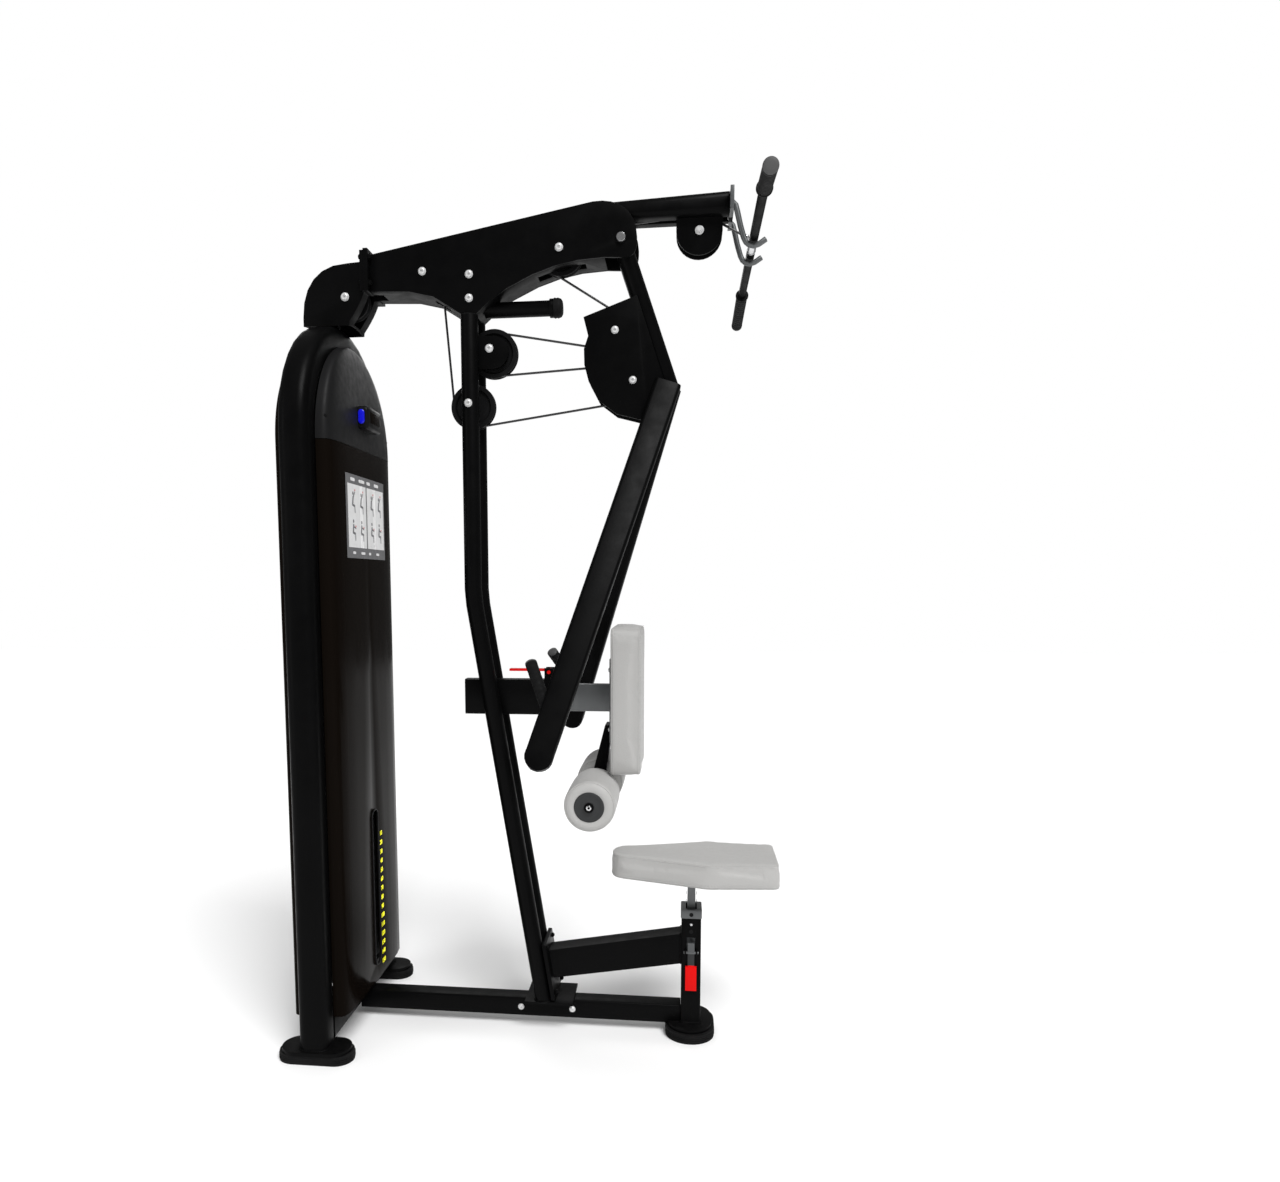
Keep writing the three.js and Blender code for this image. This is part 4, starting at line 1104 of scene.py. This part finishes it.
def lat_bar():
    path = [bar_point(-BAR_HALF + 2 * BAR_HALF * k / 190) for k in range(191)]
    shape = Shape().add(*swept(path, circle(11, 28), AXIS_Z))
    piece("lat_bar_tube", shape.mesh("lat_bar_tube"), BAR_PAINT, "lat_bar", ("lat_bar",), 50)
    rows = [(0, 11.2), (0.6, 11.7), (1.4, 11.7), (2, 11.2), (54, 11.2), (54.6, 11.7), (55.4, 11.7), (56, 11.2)]
    part("lat_bar_sleeve", Shape().add(*turned(rows, at(BAR_X, -28, BAR_Z), AXIS_Y)), "lat_bar", "chrome")
    for side, sign in SIDES:
        foot, end = bar_point(sign * 375), bar_point(sign * BAR_HALF)
        grip(f"lat_grip_{side}_sleeve", foot, end, 16.0, "lat_bar", f"lat_grip_{side}", 14)
        foot, end = (at(x, sign * y, z) for x, y, z in (GRIP_FOOT, GRIP_END))
        grip(f"row_grip_{side}_sleeve", foot, end, 15.2, "row_arm", f"row_handle_{side}", 8)


lat_bar()


def swivel():
    """The cable's end fitting, and the snap link that carries the bar."""
    start = at(CABLE_END.x, 0, CABLE_END.z)
    rows = [(-9, 0), (-9, 3.4), (-8, 4.6), (2, 5.0), (4, 6.0), (9, 6.2), (11, 5.2), (12, 3.0), (14, 2.8), (14, 0)]
    shape = Shape().add(*turned(rows, start, at(BAR_X, 0, 2090.5) - start, 28))
    part("cable_end_swivel", shape, "lat_bar", "chrome", ("cable_end",), 40)
    centre, along = at(1101, 0, 2086), Vector((0.62, 0, -0.78))
    link = []
    for k in range(40):
        turn = 2 * math.pi * k / 40
        link.append(centre + along * (13 * math.sin(turn) * MM) + AXIS_Y * (8 * math.cos(turn) * MM))
    ring = Shape().add(*swept(link, circle(2.6, 12), along.cross(AXIS_Y), True))
    part("snap_link", ring, "lat_bar", "chrome", (), 60)


swivel()


def arm_end_plugs():
    """Plastic plugs in the row arms' lower ends."""
    plugs = Shape()
    for _, sign in SIDES:
        foot = at(603.5, sign * 344, 822)
        axis = (foot - at(895.5, sign * 23.6, 1736)).normalized()
        plugs.add(*turned([(27, 0), (27, 15), (31, 14), (34, 10), (35, 0)], foot, axis, 32))
    piece("arm_plugs", plugs.mesh("arm_plugs"), HUB_PLASTIC, "row_arm", (), 50)


arm_end_plugs()


# ---- seat, chest pad and rollers ----

COVER_SHRINK, COVER_RISE = 1.8, 2.6
COVER_VOXEL, HELD_DEPTH = 0.004, 0.006
CLOTH_FRAMES = 20


def baked(obj):
    mesh = evaluated(obj)
    old = obj.data
    obj.modifiers.clear()
    obj.data = mesh
    bpy.data.meshes.remove(old)


def blown(obj, held):
    """Swells a closed cover with a cloth simulation. held lists the vertices that stay where they are."""
    obj.vertex_groups.new(name="held").add(held, 1.0, "REPLACE")
    rest = [v.co.copy() for v in obj.data.vertices]
    cloth = obj.modifiers.new("cloth", "CLOTH")
    cloth.settings.quality = 5
    cloth.settings.tension_stiffness = 30
    cloth.settings.compression_stiffness = 30
    cloth.settings.bending_stiffness = 2
    cloth.settings.use_pressure = True
    cloth.settings.uniform_pressure_force = 4
    cloth.settings.effector_weights.gravity = 0
    cloth.settings.vertex_group_mass = "held"
    cloth.collision_settings.use_self_collision = False
    for step in range(1, CLOTH_FRAMES + 1):
        scene.frame_set(step)
    baked(obj)
    for vertex, home in zip(obj.data.vertices, rest):
        moved = vertex.co - home
        if moved.length > COVER_RISE * MM:
            vertex.co = home + moved.normalized() * (COVER_RISE * MM)
    scene.frame_set(1)
    obj.vertex_groups.clear()


def puffed(name, node, axis):
    """A stuffed cover blown up from its CAD solid. axis looks out from the board that holds it."""
    mesh = frame["nodes"][node].data.copy()
    low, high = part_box(node)
    middle, size = (low + high) / 2, high - low
    for v in mesh.vertices:
        offset = v.co - middle
        v.co = middle + Vector(tuple(offset[i] * (1 - 2 * COVER_SHRINK * MM / size[i]) for i in range(3)))
        v.co -= axis * (COVER_SHRINK * MM)
    tidy(mesh)
    obj = bpy.data.objects.new(name, mesh)
    scene.collection.objects.link(obj)
    remesh = obj.modifiers.new("remesh", "REMESH")
    remesh.mode = "VOXEL"
    remesh.voxel_size = COVER_VOXEL
    baked(obj)
    board = low.dot(axis) + HELD_DEPTH
    blown(obj, [v.index for v in obj.data.vertices if v.co.dot(axis) < board])
    soften = obj.modifiers.new("soften", "SMOOTH")
    soften.factor = 0.5
    soften.iterations = 2
    finer = obj.modifiers.new("finer", "SUBSURF")
    finer.levels = finer.render_levels = 1
    baked(obj)
    return obj


def seam_loop(obj, centre, across, up, count=240):
    """Points where a plane through centre meets the cover, from rays cast inwards."""
    points, faces = [v.co for v in obj.data.vertices], [tuple(p.vertices) for p in obj.data.polygons]
    tree = BVHTree.FromPolygons(points, faces)
    found = []
    for k in range(count):
        turn = 2 * math.pi * k / count
        ray = across * math.cos(turn) + up * math.sin(turn)
        hit = tree.ray_cast(centre + ray * 0.6, -ray)[0]
        if hit is not None:
            found.append(hit)
    return found


STITCH, STITCH_INSET = 4.0, 4.2


def sewn(name, obj, body, loops):
    """A welted seam round the cover with its row of stitches."""
    cords, stitches = Shape(), Shape()
    for centre, across, up in loops:
        line = resampled(seam_loop(obj, centre, across, up), STITCH)
        cords.add(*swept(line, circle(1.0, 8), across.cross(up), True))
        normal = across.cross(up).normalized()
        for k, (a, b) in enumerate(zip(line, line[1:] + line[:1])):
            if k % 2:
                continue
            out = (a - centre).normalized()
            first, last = (p + normal * (STITCH_INSET * MM) + out * (0.1 * MM) for p in (a, b))
            middle = (first + last) / 2 + out * (0.4 * MM)
            stitches.add(*swept([first, middle, last], circle(0.55, 6), normal, False, [0.5, 1.0, 0.5]))
    part(name + "_welt", cords, body, "upholstery", (), 70)
    piece(name + "_stitches", stitches.mesh(name + "_stitches"), THREAD, body, (), 70)


def cushion(name, node, body, axis, across, up, seams):
    """A sewn cushion: its cover, and a seam at each distance below its front and above its board."""
    cover = puffed(name + "_cover", node, axis)
    cover.data.materials.clear()
    cover.data.materials.append(FINISHES["upholstery"])
    shade(cover.data, 60)
    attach(cover, body)
    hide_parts(node)
    low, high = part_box(node)
    along = list(axis).index(1)
    loops = []
    for edge, way, inset in ((high, -1, seams[0]), (low, 1, seams[1])):
        centre = (low + high) / 2
        centre.y = 0
        centre[along] = edge[along] + way * inset * MM
        loops.append((centre, across, up))
    sewn(name, cover, body, loops)


ROLLER_LENGTH, ROLLER_RADIUS = 190.0, 64.6


def roller(side, sign):
    """A thigh roller: a foam sleeve in a sewn cover, with a moulded hub at each end."""
    start, length = at(712, sign * 53, 678), ROLLER_LENGTH
    rows = [(3.5, 34), (1.6, 40), (0.6, 46), (1.2, 52), (4.0, 58), (8.5, 62.2), (14, 64.2)]
    rows.append((20, ROLLER_RADIUS))
    crown = [(length * k / 24, ROLLER_RADIUS + 0.7 * math.sin(math.pi * k / 24)) for k in range(4, 21)]
    rows += crown + [(length - along, radius) for along, radius in reversed(rows)]
    rows += [(length - 3.5, 22), (3.5, 22), (3.5, 34)]
    points, faces = turned(rows, start, AXIS_Y * sign, 96)
    crumpled = []
    for p in points:
        spoke = Vector((p.x - start.x, 0, p.z - start.z))
        ends = min(abs(p.y - start.y), length * MM - abs(p.y - start.y)) / MM
        depth = math.exp(-ends / 22) * 0.9 + 0.22
        ripple = noise.noise(Vector((p.x * 60, p.y * 18, p.z * 60)) + Vector((sign * 7.0, 0, 0)))
        crumpled.append(p + spoke.normalized() * (ripple * depth * MM) if spoke.length > 0.04 else p)
    body = f"roller_{side}"
    shape = Shape().add(crumpled, faces)
    cover = part(body + "_cover", shape, body, "upholstery", (f"thigh_roller_{side}",), 60)
    welts, hubs, heads = Shape(), Shape(), Shape()
    hub = [(-6, 0), (-6, 30), (0, 37.5), (2.4, 38), (4.0, 36.5), (4.6, 33)]
    hub += [(3.2, 30), (3.0, 20), (4.8, 17), (5.4, 14), (5.4, 0)]
    for end, way in ((0.0, -1), (length, 1)):
        rim = start + AXIS_Y * (sign * (end - way * 7.2) * MM)
        line = [rim + Vector((u * MM, 0, v * MM)) for u, v in circle(61.4, 96)]
        welts.add(*swept(line, circle(1.4, 8), AXIS_Y, True))
        face = start + AXIS_Y * (sign * (end - way * 4.0) * MM)
        hubs.add(*turned(hub, face, AXIS_Y * (sign * way), 56))
    fastener(heads, start + AXIS_Y * (sign * (length + 1.2) * MM), AXIS_Y * sign)
    part(body + "_welts", welts, body, "upholstery", (), 70)
    piece(body + "_hubs", hubs.mesh(body + "_hubs"), HUB_PLASTIC, body, (), 40)
    part(body + "_bolt", heads, body, "chrome")


cushion("seat", "seat_cushion", "seat", AXIS_Z, AXIS_X, AXIS_Y, (7, 7))
cushion("chest", "chest_pad", "pad_carriage", AXIS_X, AXIS_Y, AXIS_Z, (8, 7))
for side, sign in SIDES:
    roller(side, sign)


# ---- adjusters ----


def hole_shade_discs(name, places, radius, body):
    """Black discs that paint the shade inside adjustment holes, each with a rolled rim. places holds (place,
    direction) pairs.
    """
    rows = [(-0.5, 0), (0.15, 0), (0.15, radius * 0.8), (0.5, radius * 0.92), (0.4, radius), (-0.5, radius)]
    shape = Shape()
    for place, direction in places:
        shape.add(*turned(rows, place, direction, 20))
    # The black plastic discs are painted shade: they stand in for the dark insides of the holes.
    part(name, shape, body, "black_plastic")


def adjusters():
    """The collar on the seat's sleeve, painted-shade discs in the adjustment holes and the sleeve's screw."""
    section, lining = rounded(28.4, 36.8, 5), rounded(14.7, 24.7, 3)
    seating = rounded(26.9, 35.4, 3)
    rings = [(section, 328, 0.985), (section, 329.5, 1.0), (section, 350, 1.0), (section, 351.5, 0.985)]
    rings += [(lining, 351.5, 1.0), (lining, 350.3, 1.0), (seating, 350.3, 1.0), (seating, 328, 1.0)]
    points = [at(SEAT_X + u * share, v * share, z) for outline, z, share in rings for u, v in outline]
    faces = bands(len(rings), len(section), True)
    part("seat_collar", Shape().add(points, faces), "root", "grey_steel")
    mouths = [(at(SEAT_X, -36.9, 339), -AXIS_Y), (at(SEAT_X, -35.1, 291), -AXIS_Y)]
    hole_shade_discs("collar_hole_shade", mouths, 5.6, "root")
    mouths = [
        (at(SEAT_X + sign * 14.05, 0, z), AXIS_X * sign) for _, sign in SIDES for z in (366, 388, 410)
    ]
    hole_shade_discs("seat_post_hole_shade", mouths, 4.5, "seat")
    screws = Shape()
    fastener(screws, at(SEAT_X, -35, 311), -AXIS_Y, 3.2)
    part("sleeve_screw", screws, "root", "chrome")


adjusters()


def end_caps():
    """Plastic plugs in the base tube and the posts, and the rubber feet's treads."""
    path = [at(x, 0, 51.75) for x in (35.3, 36.3, 37.0)]
    plug = Shape().add(*swept(path, rounded(26.4, 25.6, 4), AXIS_Z, False, [0.97, 1, 1]))
    part("base_plug", plug, "root", "black_plastic")
    tops = Shape()
    for _, sign in SIDES:
        rows = [(-1, 0), (-1, 22.4), (1.5, 22.8), (3.2, 20), (4.2, 0)]
        tops.add(*turned(rows, at(384, sign * 45, 1918.5), AXIS_Z))
    part("post_caps", tops, "root", "black_plastic", (), 50)
    treads = Shape()
    for half_x, half_y, x, y in ((97, 42, 0, -265), (97, 42, 0, 265), (64, 90, 966.5, 0)):
        corner = min(half_x, half_y) - 1
        for z in (7, 12, 17):
            path = [at(x + u, y + v, z) for u, v in rounded(half_x + 1.6, half_y + 1.6, corner, 12)]
            treads.add(*swept(resampled(path, 6), circle(1.3, 8), AXIS_Z, True))
    part("foot_treads", treads, "root", "rubber", (), 70)


end_caps()


# ---- room ----

FLOOR_REACH = 14.0
SUN_PLACE, SUN_POWER, SUN_ANGLE = Vector((1.0, -1.5, 2.3)), 2.8, 30
ROOM_LIGHT, GLOSS_SHARE = 0.42, 0.5
AIM = Vector((0, 0, 1.0))


def backdrop():
    """A plain pale floor that reaches a long way past the machine."""
    made = Finish("floor", {"Roughness": 0.75, "Specular IOR Level": 0.2})
    made.colour(made.between(made.mottle(1.5), (0.945, 0.945, 0.945), (0.965, 0.965, 0.965)))
    mesh = bpy.data.meshes.new("floor")
    corners = ((-1, -1), (1, -1), (1, 1), (-1, 1))
    mesh.from_pydata([(u * FLOOR_REACH, v * FLOOR_REACH, 0) for u, v in corners], [], [(0, 1, 2, 3)])
    floor = bpy.data.objects.new("floor", mesh)
    mesh.materials.append(made.material)
    scene.collection.objects.link(floor)


def lamp(name, kind, power, heading):
    data = bpy.data.lights.new(name, kind)
    data.energy = power
    made = bpy.data.objects.new(name, data)
    scene.collection.objects.link(made)
    made.rotation_mode = "QUATERNION"
    made.rotation_quaternion = heading.to_track_quat("-Z", "Y")
    return made


def panel_light(name, place, size, power):
    made = lamp(name, "AREA", power, AIM - Vector(place))
    made.location = place
    made.data.shape = "RECTANGLE"
    made.data.size, made.data.size_y = size


def studio():
    """A white room seen by the camera, which lights the machine at a lower level so that black stays black."""
    world = bpy.data.worlds.new("studio")
    world.use_nodes = True
    tree = world.node_tree
    rays = tree.nodes.new("ShaderNodeLightPath")
    product = tree.nodes.new("ShaderNodeMath")
    product.operation = "MULTIPLY"
    levels = (("Is Camera Ray", ROOM_LIGHT, 1.0), ("Is Glossy Ray", 1.0, GLOSS_SHARE))
    for i, (ray, off, on) in enumerate(levels):
        level = tree.nodes.new("ShaderNodeMapRange")
        level.inputs["To Min"].default_value = off
        level.inputs["To Max"].default_value = on
        tree.links.new(rays.outputs[ray], level.inputs["Value"])
        tree.links.new(level.outputs[0], product.inputs[i])
    background = tree.nodes["Background"]
    background.inputs["Color"].default_value = (1, 1, 1, 1)
    tree.links.new(product.outputs[0], background.inputs["Strength"])
    scene.world = world


backdrop()
panel_light("fill", (-3.4, -2.6, 2.2), (1.2, 3.0), 16)
panel_light("back", (-1.0, 3.4, 3.2), (3.0, 1.6), 30)
lamp("sun", "SUN", SUN_POWER, -SUN_PLACE).data.angle = math.radians(SUN_ANGLE)
studio()
scene.view_settings.view_transform = "Standard"
